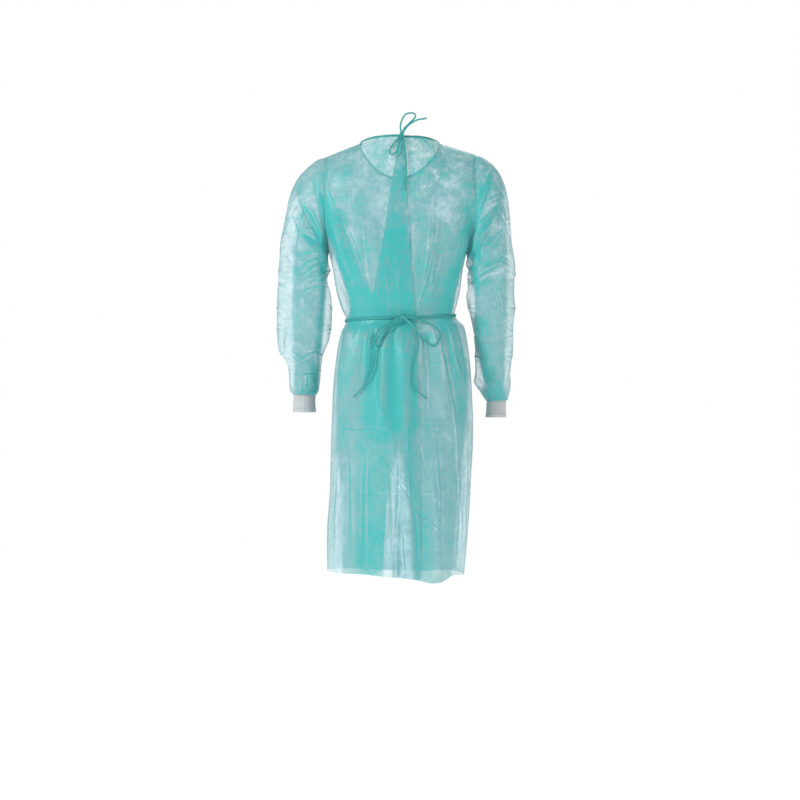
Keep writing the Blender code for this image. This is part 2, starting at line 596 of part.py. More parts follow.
def make_binding(material):
    """A strip that carries the neckline on beyond the panels' edges, open at the back."""
    parts = []
    for name in ("back_right", "front", "back_left"):
        points, outwards = panel_points(name)
        edge = slice(SHOULDER_COLUMNS, -SHOULDER_COLUMNS or None)
        if name == "back_left":
            edge = slice(SHOULDER_COLUMNS, None)
        if name == "back_right":
            edge = slice(0, -SHOULDER_COLUMNS)
        rim, facing = points[0, edge], outwards[0, edge]
        if name == "front":
            rim, facing = rim[::-1], facing[::-1]
        if name == "back_left":
            rim, facing = rim[::-1], facing[::-1]
        parts.append((rim, facing))
    under, front, over = parts
    over = (over[0][::-1], over[1][::-1])
    low, high = BINDING_ENDS

    def cut(rim, facing, x, keep_above):
        """The strip's part on one side of an x, with a station at that x."""
        order = np.argsort(rim[:, 0])
        at = [np.interp(x, rim[order, 0], rim[order, k]) for k in range(3)]
        away = [np.interp(x, rim[order, 0], facing[order, k]) for k in range(3)]
        keep = rim[:, 0] > x + MM / 2 if keep_above else rim[:, 0] < x - MM / 2
        return np.array([at]), np.array([away]), rim[keep], facing[keep]

    start, start_facing, under_rim, under_facing = cut(*under, high, True)
    end, end_facing, over_rim, over_facing = cut(*over, low, False)
    rim = np.concatenate([start, under_rim[:-1], front[0], over_rim[1:], end])
    facing = np.concatenate([start_facing, under_facing[:-1], front[1], over_facing[1:],
                             end_facing])
    along = unit(np.gradient(rim, axis=0))
    padded = np.pad(facing, ((1, 1), (0, 0)), mode="edge")
    facing = padded[:-2] + 2 * facing + padded[2:]
    facing = unit(facing - along * (facing * along).sum(axis=1, keepdims=True))
    away = unit(np.cross(facing, along))
    away *= np.sign((away[:, 2:] + away[:, :1] * -np.sign(rim[:, :1])).sum())
    near = 1.5 * SEAM_GAP + NECK_POINT_ROOM * (1 - ease(0.012, 0.035, abs(rim[:, 1:2])))
    corners = [(BINDING_OUT, near), (BINDING_OUT, BINDING_HEIGHT),
               (-BINDING_IN, BINDING_HEIGHT), (-BINDING_IN, near)]
    sections = np.stack([rim + facing * out + away * up for out, up in corners], axis=1)
    sweep("neck_binding", sections, False, material)


def make_belt(material):
    """The waist tie's band: the panels' own points on the waist flat, moved out."""
    upper, lower = YOKE_ROWS + BODICE_ROWS, YOKE_ROWS + BODICE_ROWS + 1
    front, front_out = panel_points("front")
    over, over_out = panel_points("back_left")
    under, under_out = panel_points("back_right")
    shown = under[upper, :, 0] > over[upper, -1, 0] + 0.008
    rows = []
    for row in (upper, lower):
        points = np.concatenate([front[row], under[row][shown][::-1][1:], over[row][::-1][:-1]])
        facing = np.concatenate([front_out[row], under_out[row][shown][::-1][1:],
                                 over_out[row][::-1][:-1]])
        facing[:, 2] = 0
        rows.append((points, unit(facing)))
    (top, top_out), (bottom, bottom_out) = rows
    margin = 0.12
    high, low = top + (bottom - top) * margin, bottom + (top - bottom) * margin
    far = BELT_STANDS_OFF + BELT_THICK
    sections = np.stack([high + top_out * BELT_STANDS_OFF, high + top_out * far,
                         low + bottom_out * far, low + bottom_out * BELT_STANDS_OFF], axis=1)
    sweep("waist_belt", sections, True, material)


def back_depths(x, z, reach_x, reach_z):
    """Depth of the outermost cloth of the back under a strip at each x and z, found by
    looking along Y at the back panels, or the neck tie's depth where there is no cloth."""
    trees = []
    for name in ("back_left", "back_right", "neck_binding", "waist_belt"):
        mesh = bpy.data.objects[name].data
        trees.append(BVHTree.FromPolygons([v.co for v in mesh.vertices],
                                          [list(p.vertices) for p in mesh.polygons]))
    around = [(reach_x * dx, reach_z * dz) for dx in (-1, 0, 1) for dz in (-1, 0, 1)]
    depths = []
    for px, pz in zip(x, z):
        hits = [tree.ray_cast((px + dx, -1, pz + dz), (0, 1, 0))[0] for tree in trees
                for dx, dz in around]
        found = [hit.y for hit in hits if hit]
        depths.append(min(found) if found else NECK_TIE_Y)
    return np.array(depths)


def smooth_route(points, count):
    """Evenly spaced points on a smooth curve through the given ones (Catmull-Rom)."""
    padded = np.concatenate([2 * points[:1] - points[1:2], points, 2 * points[-1:] - points[-2:-1]])
    fine = []
    for i in range(len(points) - 1):
        a, b, c, d = padded[i:i + 4]
        t = np.linspace(0, 1, 12, endpoint=False)[:, None]
        fine.append(0.5 * (2 * b + (c - a) * t + (2 * a - 5 * b + 4 * c - d) * t**2
                           + (3 * b - a - 3 * c + d) * t**3))
    fine = np.concatenate(fine + [points[-1:]])
    reach = np.concatenate([[0], np.cumsum(np.linalg.norm(np.diff(fine, axis=0), axis=1))])
    at = np.linspace(0, reach[-1], count)
    return np.stack([np.interp(at, reach, fine[:, k]) for k in range(3)], axis=1)


def make_tie(name, route, material):
    """A flat strip along a route, its broad face towards the back."""
    flat = smooth_route(np.stack([route["x"], route["out"], route["z"]], axis=1), TIE_POINTS)
    depth = back_depths(flat[:, 0], flat[:, 2], TIE_REACH, TIE_REACH)
    padded = np.pad(depth, 2, mode="edge")
    eased = sum(padded[k:k + len(depth)] for k in range(5)) / 5
    path = flat.copy()
    path[:, 1] = np.minimum(depth, eased) - flat[:, 1]
    along = unit(np.gradient(path, axis=0))
    broad = unit(np.cross(along, np.array([0.0, -1.0, 0.0])))
    facing = unit(np.cross(broad, along))
    half_width, half_thick = TIE_WIDTH / 2, TIE_THICK / 2
    corners = [(1, 1), (1, -1), (-1, -1), (-1, 1)]
    sections = np.stack([path + broad * half_width * a + facing * half_thick * b
                         for a, b in corners], axis=1)
    sweep(name, sections, False, material)


def make_knot(name, x, z, radius_x, radius_y, radius_z, material):
    """A rounded knot that sits just clear of the cloth and the strip behind it."""
    depth = back_depths([x], [z], radius_x, radius_z)[0]
    middle = Vector((x, depth - radius_y - SEAM_GAP, z))
    mesh = bpy.data.meshes.new(name)
    shape = bmesh.new()
    bmesh.ops.create_uvsphere(shape, u_segments=12, v_segments=8, radius=1.0)
    for vertex in shape.verts:
        vertex.co = middle + Vector((radius_x, radius_y, radius_z)) * vertex.co
    shape.to_mesh(mesh)
    shape.free()
    mesh.materials.append(material)
    mesh.shade_smooth()
    bpy.context.scene.collection.objects.link(bpy.data.objects.new(name, mesh))


def make_material(name, colour, roughness):
    material = bpy.data.materials.new(name)
    material.use_nodes = True
    shader = material.node_tree.nodes["Principled BSDF"]
    shader.inputs["Base Color"].default_value = colour
    shader.inputs["Roughness"].default_value = roughness
    shader.inputs["Metallic"].default_value = 0.0
    return material


def main():
    for item in list(bpy.data.objects):
        bpy.data.objects.remove(item, do_unlink=True)
    cloth = make_material("cloth", COLOURS["cloth"], 0.55)
    binding = make_material("binding", COLOURS["binding"], 0.6)
    knit = make_material("knit", COLOURS["knit"], 0.9)
    for name in ("front", "back_left", "back_right"):
        make_panel(name, cloth)
    for side in ("left", "right"):
        make_sleeve(side, cloth)
        make_cuff(side, knit)
    make_binding(binding)
    make_belt(binding)
    for name, sizes in zip(KNOT_NAMES, zip(*KNOTS.values())):
        make_knot(name, *sizes, binding)
    ties = {"neck_loop_up": NECK_LOOP_UP, "neck_end_up": NECK_END_UP,
            "neck_loop_down": NECK_LOOP_DOWN, "neck_end_down": NECK_END_DOWN,
            "waist_loop_left": WAIST_LOOP_LEFT, "waist_loop_right": WAIST_LOOP_RIGHT,
            "waist_end_left": WAIST_END_LEFT, "waist_end_right": WAIST_END_RIGHT}
    for name, stretch in NECK_STRETCH.items():
        ties[name] = stretched(ties[name], *stretch)
    for name, route in ties.items():
        make_tie(name, route, binding)


main()
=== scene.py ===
import math

import bmesh
import bpy
import numpy as np
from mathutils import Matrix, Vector
from mathutils.bvhtree import BVHTree


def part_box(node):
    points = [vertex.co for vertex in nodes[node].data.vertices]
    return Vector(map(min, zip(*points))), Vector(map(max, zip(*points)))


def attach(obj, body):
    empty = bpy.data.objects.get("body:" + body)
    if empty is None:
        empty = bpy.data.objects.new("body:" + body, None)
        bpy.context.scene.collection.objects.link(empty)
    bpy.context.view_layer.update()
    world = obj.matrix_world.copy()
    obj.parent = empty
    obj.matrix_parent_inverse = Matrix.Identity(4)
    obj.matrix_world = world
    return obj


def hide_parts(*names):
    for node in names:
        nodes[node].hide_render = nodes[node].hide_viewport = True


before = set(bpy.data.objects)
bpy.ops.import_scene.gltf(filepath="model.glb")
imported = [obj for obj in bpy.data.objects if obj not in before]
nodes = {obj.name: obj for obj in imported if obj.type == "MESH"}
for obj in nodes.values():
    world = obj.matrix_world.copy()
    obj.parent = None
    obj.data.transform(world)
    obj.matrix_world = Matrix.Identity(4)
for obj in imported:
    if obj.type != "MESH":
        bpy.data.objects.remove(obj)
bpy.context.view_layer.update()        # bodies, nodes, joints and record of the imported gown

# Isolation gown seen from behind. Metres: X runs to the wearer's right, Y forwards, Z up,
# and the origin is the middle of the body at the base of the neck.
mm = 0.001


def table(columns, *rows):
    # Rows of numbers under named columns, as one array for each column
    return dict(zip(columns.split(), np.array(rows, float).T))


def follow(rows, column, at, key):
    # Smooth curve through a table's points without overshoot, clamped at its ends: cubic
    # Hermite pieces whose slopes are the harmonic means of the neighbouring chords' slopes
    order = np.argsort(rows[key])
    xs, ys = rows[key][order], rows[column][order]
    step = np.diff(xs)
    slope = np.diff(ys) / step
    product = slope[:-1] * slope[1:]
    total = np.where(slope[:-1] + slope[1:] == 0, 1.0, slope[:-1] + slope[1:])
    inner = np.where(product > 0, 2 * product / total, 0.0)
    tangent = np.concatenate([slope[:1], inner, slope[-1:]])
    at = np.clip(at, xs[0], xs[-1])
    i = np.clip(np.searchsorted(xs, at) - 1, 0, len(xs) - 2)
    t = (at - xs[i]) / step[i]
    return ((2 * t**3 - 3 * t**2 + 1) * ys[i] + (t**3 - 2 * t**2 + t) * step[i] * tangent[i]
            + (3 * t**2 - 2 * t**3) * ys[i + 1] + (t**3 - t**2) * step[i] * tangent[i + 1])


def ease(low, high, value):
    # 0 below low, 1 above high, and 3t^2 - 2t^3 between
    t = np.clip((value - low) / (high - low), 0, 1)
    return t * t * (3 - 2 * t)


def unit(vectors):
    length = np.linalg.norm(vectors, axis=-1, keepdims=True)
    return vectors / np.maximum(length, 1e-12)


def squareTo(facing, along):
    # What is left of "facing" square to "along", at length 1
    return unit(facing - along * (facing * along).sum(axis=1, keepdims=True))


def runningMean(values, reach):
    # Mean of each value and its neighbours up to "reach" places away, the ends repeated
    padded = np.pad(values, [(reach, reach)] + [(0, 0)] * (values.ndim - 1), mode="edge")
    count = 2 * reach + 1
    return sum(padded[k:k + len(values)] for k in range(count)) / count


def fit(piece, node=None):
    # The piece rides on the gown's one body, and stands for its node
    if node:
        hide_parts(node)
    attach(piece, "root")


def boxOf(node):
    # Middle and half size of a node's box
    low, high = (np.array(corner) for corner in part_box(node))
    return (low + high) / 2, (high - low) / 2


def signedPower(value, power):
    # The size of a value to a power, with its sign kept
    return np.sign(value) * abs(value)**power


def gridNormals(points, around=False):
    # Cross product of the steps across and down a grid of points, at length 1
    down = np.gradient(points, axis=0)
    if around:
        across = (np.roll(points, -1, axis=1) - np.roll(points, 1, axis=1)) / 2
    else:
        across = np.gradient(points, axis=1)
    return unit(np.cross(across, down))


def cloud(points, size, seed):
    # Smooth random field from -1 to 1: random numbers on a lattice whose cells have the
    # given size, blended with eased weights from the eight corners round each point
    count = 32
    lattice = np.random.default_rng(seed).uniform(-1, 1, (count, count, count))
    at = points / np.array(size) + 512.37
    cell = np.floor(at).astype(int)
    part = at - cell
    part = part * part * (3 - 2 * part)
    total = 0
    for corner in range(8):
        shift = np.array([corner & 1, corner >> 1 & 1, corner >> 2])
        i, j, k = np.moveaxis((cell + shift) % count, -1, 0)
        total = total + lattice[i, j, k] * np.prod(np.where(shift, part, 1 - part), axis=-1)
    return total


# ---- camera, light and floor
view = {"middleX": 0.005, "middleZ": -0.64, "distance": 5.0,
        "pixel": 0.00256,          # metres to a pixel at the gown
        "frame": 800, "sensor": 36.0}
light = {"floorZ": -1.577, "floorSize": 14.0, "floorColour": (0.90, 0.90, 0.90, 1),
         "floorRoughness": 0.9, "floorGlow": 0.56,
         "around": 0.46, "seen": 1.0,         # the backdrop's strength as light and to the eye
         "aim": (0, 0, -0.5),                 # where the lamps point
         # name: place, size and power of each lamp
         "lamps": {"lamp_left": ((-2.6, -2.2, 1.5), 1.2, 90.0),
                   "lamp_right": ((2.6, -2.0, 0.6), 2.0, 24.0),
                   "lamp_front": ((0.8, 2.8, 1.6), 2.4, 35.0)}}


def makeCamera():
    camera = bpy.data.cameras.new("camera")
    camera.sensor_width = view["sensor"]
    # the frame's width in metres is pixel times frame, at the camera's distance
    camera.lens = view["sensor"] * view["distance"] / (view["pixel"] * view["frame"])
    camera.clip_end = 60
    holder = bpy.data.objects.new("camera", camera)
    holder.location = (view["middleX"], -view["distance"], view["middleZ"])
    holder.rotation_euler = (math.pi / 2, 0, 0)
    bpy.context.scene.collection.objects.link(holder)
    bpy.context.scene.camera = holder


def makeFloor():
    half = light["floorSize"] / 2
    corners = [(-half, -half), (half, -half), (half, half), (-half, half)]
    mesh = bpy.data.meshes.new("floor")
    mesh.from_pydata([(x, y, light["floorZ"]) for x, y in corners], [], [(0, 1, 2, 3)])
    floor = bpy.data.objects.new("floor", mesh)
    bpy.context.scene.collection.objects.link(floor)
    paint = finish("floor_paint", light["floorColour"], light["floorRoughness"])
    paint.set("Emission Color", (1, 1, 1, 1))
    paint.set("Emission Strength", light["floorGlow"])
    mesh.materials.append(paint.material)


def makeBackdrop():
    # White for the eye, and softer as light
    world = bpy.data.worlds.new("studio")
    world.use_nodes = True
    bpy.context.scene.world = world
    tree = world.node_tree
    background = tree.nodes["Background"]
    background.inputs["Color"].default_value = (1, 1, 1, 1)
    path = tree.nodes.new("ShaderNodeLightPath")
    blend = tree.nodes.new("ShaderNodeMix")
    blend.inputs[2].default_value = light["around"]
    blend.inputs[3].default_value = light["seen"]
    tree.links.new(path.outputs["Is Camera Ray"], blend.inputs[0])
    tree.links.new(blend.outputs[0], background.inputs["Strength"])


def makeLamps():
    for name, (place, size, power) in light["lamps"].items():
        lamp = bpy.data.lights.new(name, "AREA")
        lamp.shape = "DISK"
        lamp.size = size
        lamp.energy = power
        holder = bpy.data.objects.new(name, lamp)
        holder.location = place
        aim = Vector(light["aim"]) - Vector(place)
        holder.rotation_euler = aim.to_track_quat("-Z", "Y").to_euler()
        bpy.context.scene.collection.objects.link(holder)


# ---- shader maths
class shaderValue:
    # A node's output that can be added, multiplied and so on like a number
    def __init__(self, tree, socket):
        self.tree, self.socket = tree, socket

    def maths(self, operation, first, second, clamp=False):
        node = self.tree.nodes.new("ShaderNodeMath")
        node.operation, node.use_clamp = operation, clamp
        for socket, value in zip(node.inputs, (first, second)):
            plug(self.tree, socket, value)
        return shaderValue(self.tree, node.outputs[0])

    def __add__(self, other): return self.maths("ADD", self, other)
    def __radd__(self, other): return self.maths("ADD", other, self)
    def __sub__(self, other): return self.maths("SUBTRACT", self, other)
    def __rsub__(self, other): return self.maths("SUBTRACT", other, self)
    def __mul__(self, other): return self.maths("MULTIPLY", self, other)

    def clamped(self):
        return self.maths("ADD", self, 0.0, True)


def plug(tree, socket, value):
    # A socket takes a link from a shader value, or a plain setting
    if isinstance(value, shaderValue):
        tree.links.new(value.socket, socket)
    else:
        socket.default_value = value


class finish:
    # A material with one Principled shader, and the nodes that feed it
    def __init__(self, name, colour, roughness):
        self.material = bpy.data.materials.new(name)
        self.material.use_nodes = True
        self.tree = self.material.node_tree
        self.shader = self.tree.nodes["Principled BSDF"]
        self.set("Base Color", colour)
        self.set("Roughness", roughness)

    def node(self, kind, settings, sockets, output=0):
        # A node of that type: its settings first, then the values or links of its sockets
        made = self.tree.nodes.new(kind)
        for name, value in settings.items():
            setattr(made, name, value)
        for name, value in sockets.items():
            plug(self.tree, made.inputs[name], value)
        return shaderValue(self.tree, made.outputs[output])

    def set(self, socket, value):
        plug(self.tree, self.shader.inputs[socket], value)

    def coordinates(self):
        return self.node("ShaderNodeTexCoord", {}, {}, "Object")

    def attribute(self, name):
        return self.node("ShaderNodeAttribute", {"attribute_name": name}, {}, "Fac")

    def noise(self, where, scale, detail, roughness, stretch=(1, 1, 1)):
        # Cloudy noise from 0 to 1, stretched along the axes whose factor is small
        place = self.node("ShaderNodeMapping", {}, {"Vector": where, "Scale": stretch})
        return self.node("ShaderNodeTexNoise", {},
                         {"Vector": place, "Scale": scale, "Detail": detail,
                          "Roughness": roughness})

    def between(self, amount, low, high):
        # Colour between two others by an amount from 0 to 1
        return self.node("ShaderNodeMix", {"data_type": "RGBA"},
                         {0: amount, 6: low, 7: high}, 2)

    def spread(self, value, low, high):
        # The value from low to high spread over 0 to 1
        return ((value - low) * (1.0 / (high - low))).clamped()

    def bump(self, height, distance, strength):
        made = self.node("ShaderNodeBump", {},
                         {"Height": height, "Distance": distance, "Strength": strength})
        self.set("Normal", made)


# ---- finishes
# A noise is its scale, detail and roughness, and how far it is stretched along each axis. A
# bump is its depth in metres and its strength, and its relief the shares of its two noises.
# The cloth's thin colour also serves as painted light, and its deep one as painted shade
clothLook = {"thinnerAndLit": (0.400, 0.760, 0.840, 1), "middle": (0.185, 0.440, 0.465, 1),
             "deep": (0.036, 0.425, 0.415, 1),
             "alpha": (0.30, 0.70, 0.93),    # thin, middle and dense
             "patches": (20.0, 4.0, 0.6, (1, 1, 0.8)), "clouds": (65.0, 5.0, 0.70),
             "fibres": (300.0, 3.0, 0.80),
             "shares": (1.6, 1.6, 1.5),      # of patches, clouds and fibres in the mottle
             "mottle": 1.3, "more": 0.12, "roughness": 0.45, "uneven": 0.25,
             "cloudier": (-0.60, -0.15, 0.70, 0.65),   # between two heights: share, and more
             "bump": (0.0008, 0.5), "relief": (0.4, 0.6), "sheen": 0.15, "sheenRoughness": 0.4}
bindingLook = {"light": (0.040, 0.390, 0.375, 1), "deep": (0.008, 0.215, 0.210, 1),
               "alpha": 0.94, "seamAlpha": 0.55, "alphaUneven": 0.18,
               "clouds": (240.0, 3.0, 0.6), "fibres": (1100.0, 2.0, 0.7),
               "shares": (1.1, 0.5), "more": 0.45, "roughness": 0.5, "uneven": 0.3,
               "bump": (0.0006, 0.6), "relief": (0.5, 0.5)}
# The knit's deep colour serves as painted shade in the rib grooves, between the loops, inside the
# cuff and along its hem, as well as for its fuzz
knitLook = {"light": (0.545, 0.575, 0.585, 1), "deep": (0.340, 0.380, 0.390, 1),
            "fuzz": (700.0, 3.0, 0.7), "fuzzShare": 0.6, "knitShadeShare": 0.42,
            "loopShadeShare": 0.18, "roughness": 0.86, "uneven": 0.2, "bump": (0.0006, 0.7),
            "relief": (0.6, 0.4)}


def clothFinish():
    # Spunbond cloth: thin and dense clouds of fibre let more or less light through, and
    # each point's own number makes folded places denser and stretched ones thinner, and adds painted
    # shade in troughs, creases and dark bands and painted light on ridges and small glints
    look = clothLook
    paint = finish("gown_cloth", look["middle"], look["roughness"])
    where = paint.coordinates()
    patches, clouds, fibres = (paint.noise(where, *look[kind])
                               for kind in ("patches", "clouds", "fibres"))
    mottle = sum((noise - 0.5) * share
                 for noise, share in zip((patches, clouds, fibres), look["shares"]))
    # the upper half is cloudier than the skirt
    height = paint.node("ShaderNodeSeparateXYZ", {}, {0: where}, "Z")
    low, high, share, more = look["cloudier"]
    mottle = mottle * (paint.spread(height, low, high) * more + share)
    # the point's number: the cloth's density, with painted shade in troughs, creases and dark bands
    # and painted light on ridges and glints
    amount = paint.attribute("density_and_shade") + mottle * look["mottle"] + look["more"]
    denserAndShaded, thinnerAndLit = amount.clamped(), (amount * -1.0).clamped()
    low, middle, high = look["alpha"]
    paint.set("Alpha", denserAndShaded * (high - middle) - thinnerAndLit * (middle - low) + middle)
    colour = paint.between(thinnerAndLit, look["middle"], look["thinnerAndLit"])
    paint.set("Base Color", paint.between(denserAndShaded, colour, look["deep"]))
    paint.set("Roughness", (look["roughness"] + (clouds - 0.5) * look["uneven"]).clamped())
    coarse, fine = look["relief"]
    paint.bump(clouds * coarse + fibres * fine, *look["bump"])
    paint.set("Sheen Weight", look["sheen"])
    paint.set("Sheen Roughness", look["sheenRoughness"])
    return paint.material


def bindingFinish(name, alpha):
    # The same cloth folded into a strip: denser, and evenly mottled
    look = bindingLook
    paint = finish(name, look["light"], look["roughness"])
    where = paint.coordinates()
    clouds, fibres = (paint.noise(where, *look[kind]) for kind in ("clouds", "fibres"))
    mottle = sum((noise - 0.5) * share for noise, share in zip((clouds, fibres), look["shares"]))
    shade = (mottle + look["more"]).clamped()
    paint.set("Base Color", paint.between(shade, look["light"], look["deep"]))
    paint.set("Alpha", (mottle * look["alphaUneven"] + alpha).clamped())
    paint.set("Roughness", (look["roughness"] + (clouds - 0.5) * look["uneven"]).clamped())
    coarse, fine = look["relief"]
    paint.bump(clouds * coarse + fibres * fine, *look["bump"])
    return paint.material


def knitFinish():
    # Rib knit: fine loops as chevrons along the ribs, with painted shade in the grooves between them
    # and between the loops, inside the cuff and in a line along its hem, and painted light on the
    # turned lip below it
    look = knitLook
    paint = finish("cuff_knit", look["light"], look["roughness"])
    where = paint.coordinates()
    knitShade, loops = paint.attribute("knitShade"), paint.attribute("loops")
    fuzz = paint.noise(where, *look["fuzz"])
    shade = (knitShade * look["knitShadeShare"] + (fuzz - 0.5) * look["fuzzShare"]
             + (1.0 - loops) * look["loopShadeShare"]).clamped()
    paint.set("Base Color", paint.between(shade, look["light"], look["deep"]))
    paint.set("Roughness", (look["roughness"] + (fuzz - 0.5) * look["uneven"]).clamped())
    coarse, fine = look["relief"]
    paint.bump(loops * coarse + fuzz * fine, *look["bump"])
    return paint.material


# ---- the garment's form, as its solids have it
shape = {"seamGap": 0.4 * mm, "halfWall": 0.6 * mm, "lapInset": 2.8 * mm,
         "lapFlat": 0.006, "lapBlend": 0.055,      # beside the lap's edge: low, then back up
         "fullness": 0.88,
         "chestZ": -0.263, "waistZ": -0.432, "beltHalf": 4.5 * mm,
         "armholeBack": 0.078, "armholeFront": 0.068, "armholeCutIn": 0.014,
         "shoulderRound": 0.122, "neckShare": 0.45,
         "atHem": -1.05,            # a fold that ends below this runs out at the hem
         "neckCurve": 1.4,          # power of the neckline's quarter turn
         "beltReach": 0.08,         # how far up and down the waist tie's slant is felt
         "edgeHollow": 0.62, "edgeTurn": 14, "edgeSoft": (0.35, 1.45),
         "shoulderTurn": (0.9, 0.32, 0.08, 0.8)}   # power, less by the neck, less to the tip
# grid of a panel and of a sleeve
grid = {"yokeRows": 84, "bodiceRows": 60, "waistRows": 5, "skirtRows": 216,
        "shoulderColumns": 70, "neckColumns": 58, "lapColumns": 36, "sleeveRings": 350}

body = table(
    "z left right back front turn",
    (-1.100, -0.181, 0.168, -0.158, 0.158, 90),
    (-1.000, -0.183, 0.177, -0.156, 0.157, 90),
    (-0.850, -0.174, 0.187, -0.153, 0.153, 90),
    (-0.717, -0.171, 0.193, -0.150, 0.149, 90),
    (-0.600, -0.166, 0.189, -0.143, 0.142, 90),
    (-0.520, -0.157, 0.182, -0.132, 0.132, 90),
    (-0.461, -0.145, 0.169, -0.112, 0.118, 90),
    (-0.438, -0.135, 0.149, -0.100, 0.108, 90),
    (-0.425, -0.134, 0.146, -0.099, 0.107, 90),
    (-0.404, -0.144, 0.151, -0.106, 0.114, 90),
    (-0.358, -0.159, 0.160, -0.117, 0.124, 90),
    (-0.310, -0.167, 0.165, -0.121, 0.127, 90),
    (-0.263, -0.177, 0.174, -0.122, 0.128, 90),
    (-0.210, -0.183, 0.190, -0.121, 0.127, 76),
    (-0.120, -0.186, 0.196, -0.116, 0.112, 64),
    (-0.010, -0.184, 0.195, -0.102, 0.085, 60),
    (0.040, -0.184, 0.195, -0.096, 0.070, 60),
)
neckPoint = {"left": (-0.098, 0.0165), "right": (0.107, 0.0165)}
shoulderTip = {"left": (-0.184, -0.018), "right": (0.195, -0.011)}
neckMiddle = {"back": (-0.073, 0.0255), "front": (0.078, -0.066)}
beltLine = table("u z", (-1, -0.438), (0, -0.433), (1, -0.423))
hemLine = {
    "back": table("u z", (-1, -1.074), (-0.5, -1.073), (-0.1, -1.078), (0.16, -1.088),
                  (0.3, -1.096), (0.5, -1.091), (0.65, -1.081), (1, -1.087)),
    "front": table("u z", (-1, -1.074), (-0.4, -1.083), (0.1, -1.090), (0.6, -1.086),
                   (1, -1.087)),
}
upperEdge = table("z x", (-1.09, 0.056), (-0.70, 0.054), (-0.55, 0.050), (-0.43, 0.043),
                  (-0.346, 0.036), (-0.23, 0.028), (-0.10, 0.0205), (0.03, 0.0115))
underEdge = table("z x", (-1.08, -0.012), (-0.76, -0.010), (-0.64, -0.052), (-0.50, -0.072),
                  (-0.43, -0.070), (-0.346, -0.058), (-0.23, -0.036), (-0.10, -0.0166),
                  (0.03, 0.003))

# How much nearer to the camera than the gown's middle the marks lie, in millimetres: on the
# back, what the skirt adds below the waist over a drop, and on the sleeves. "rounding" is the
# share of it that is lost at the body's sides.
nearer = {"body": 118, "skirt": 38, "waistZ": -430, "skirtDrop": 250, "rounding": 0.85,
          "halfWidth": 185, "sleeve": 45}


def fromPicture(side, across, down):
    # x and z in millimetres of a place that was read off the photograph, in its pixels.
    # What is nearer looks larger: its true offset is smaller by its depth over the distance.
    x = (across - view["frame"] / 2) * view["pixel"] / mm
    z = (view["frame"] / 2 - down) * view["pixel"] / mm
    middleX, middleZ = view["middleX"] / mm, view["middleZ"] / mm
    depth = nearer["sleeve"]
    if side in ("back", "front"):
        onSkirt = np.clip((nearer["waistZ"] - middleZ - z) / nearer["skirtDrop"], 0, 1)
        beside = np.clip(abs(x) / nearer["halfWidth"], 0, 1)
        depth = (nearer["body"] + nearer["skirt"] * onSkirt) * (1 - nearer["rounding"] * beside**3)
    if side == "front":
        depth = -depth
    shrink = 1 - depth * mm / view["distance"]
    return middleX + x * shrink, middleZ + z * shrink


def seenCreases(side, *rows):
    # Creases whose ends are picture places; height, width and bow are in millimetres
    seen = table("across0 down0 across1 down1 height width bow", *rows)
    x0, z0 = fromPicture(side, seen["across0"], seen["down0"])
    x1, z1 = fromPicture(side, seen["across1"], seen["down1"])
    return {"x0": x0, "z0": z0, "x1": x1, "z1": z1,
            "height": seen["height"], "width": seen["width"], "bow": seen["bow"]}


def folds(*rows):
    return table("x0 z0 x1 z1 height width", *rows)


def creases(*rows):
    return table("x0 z0 x1 z1 height width bow", *rows)


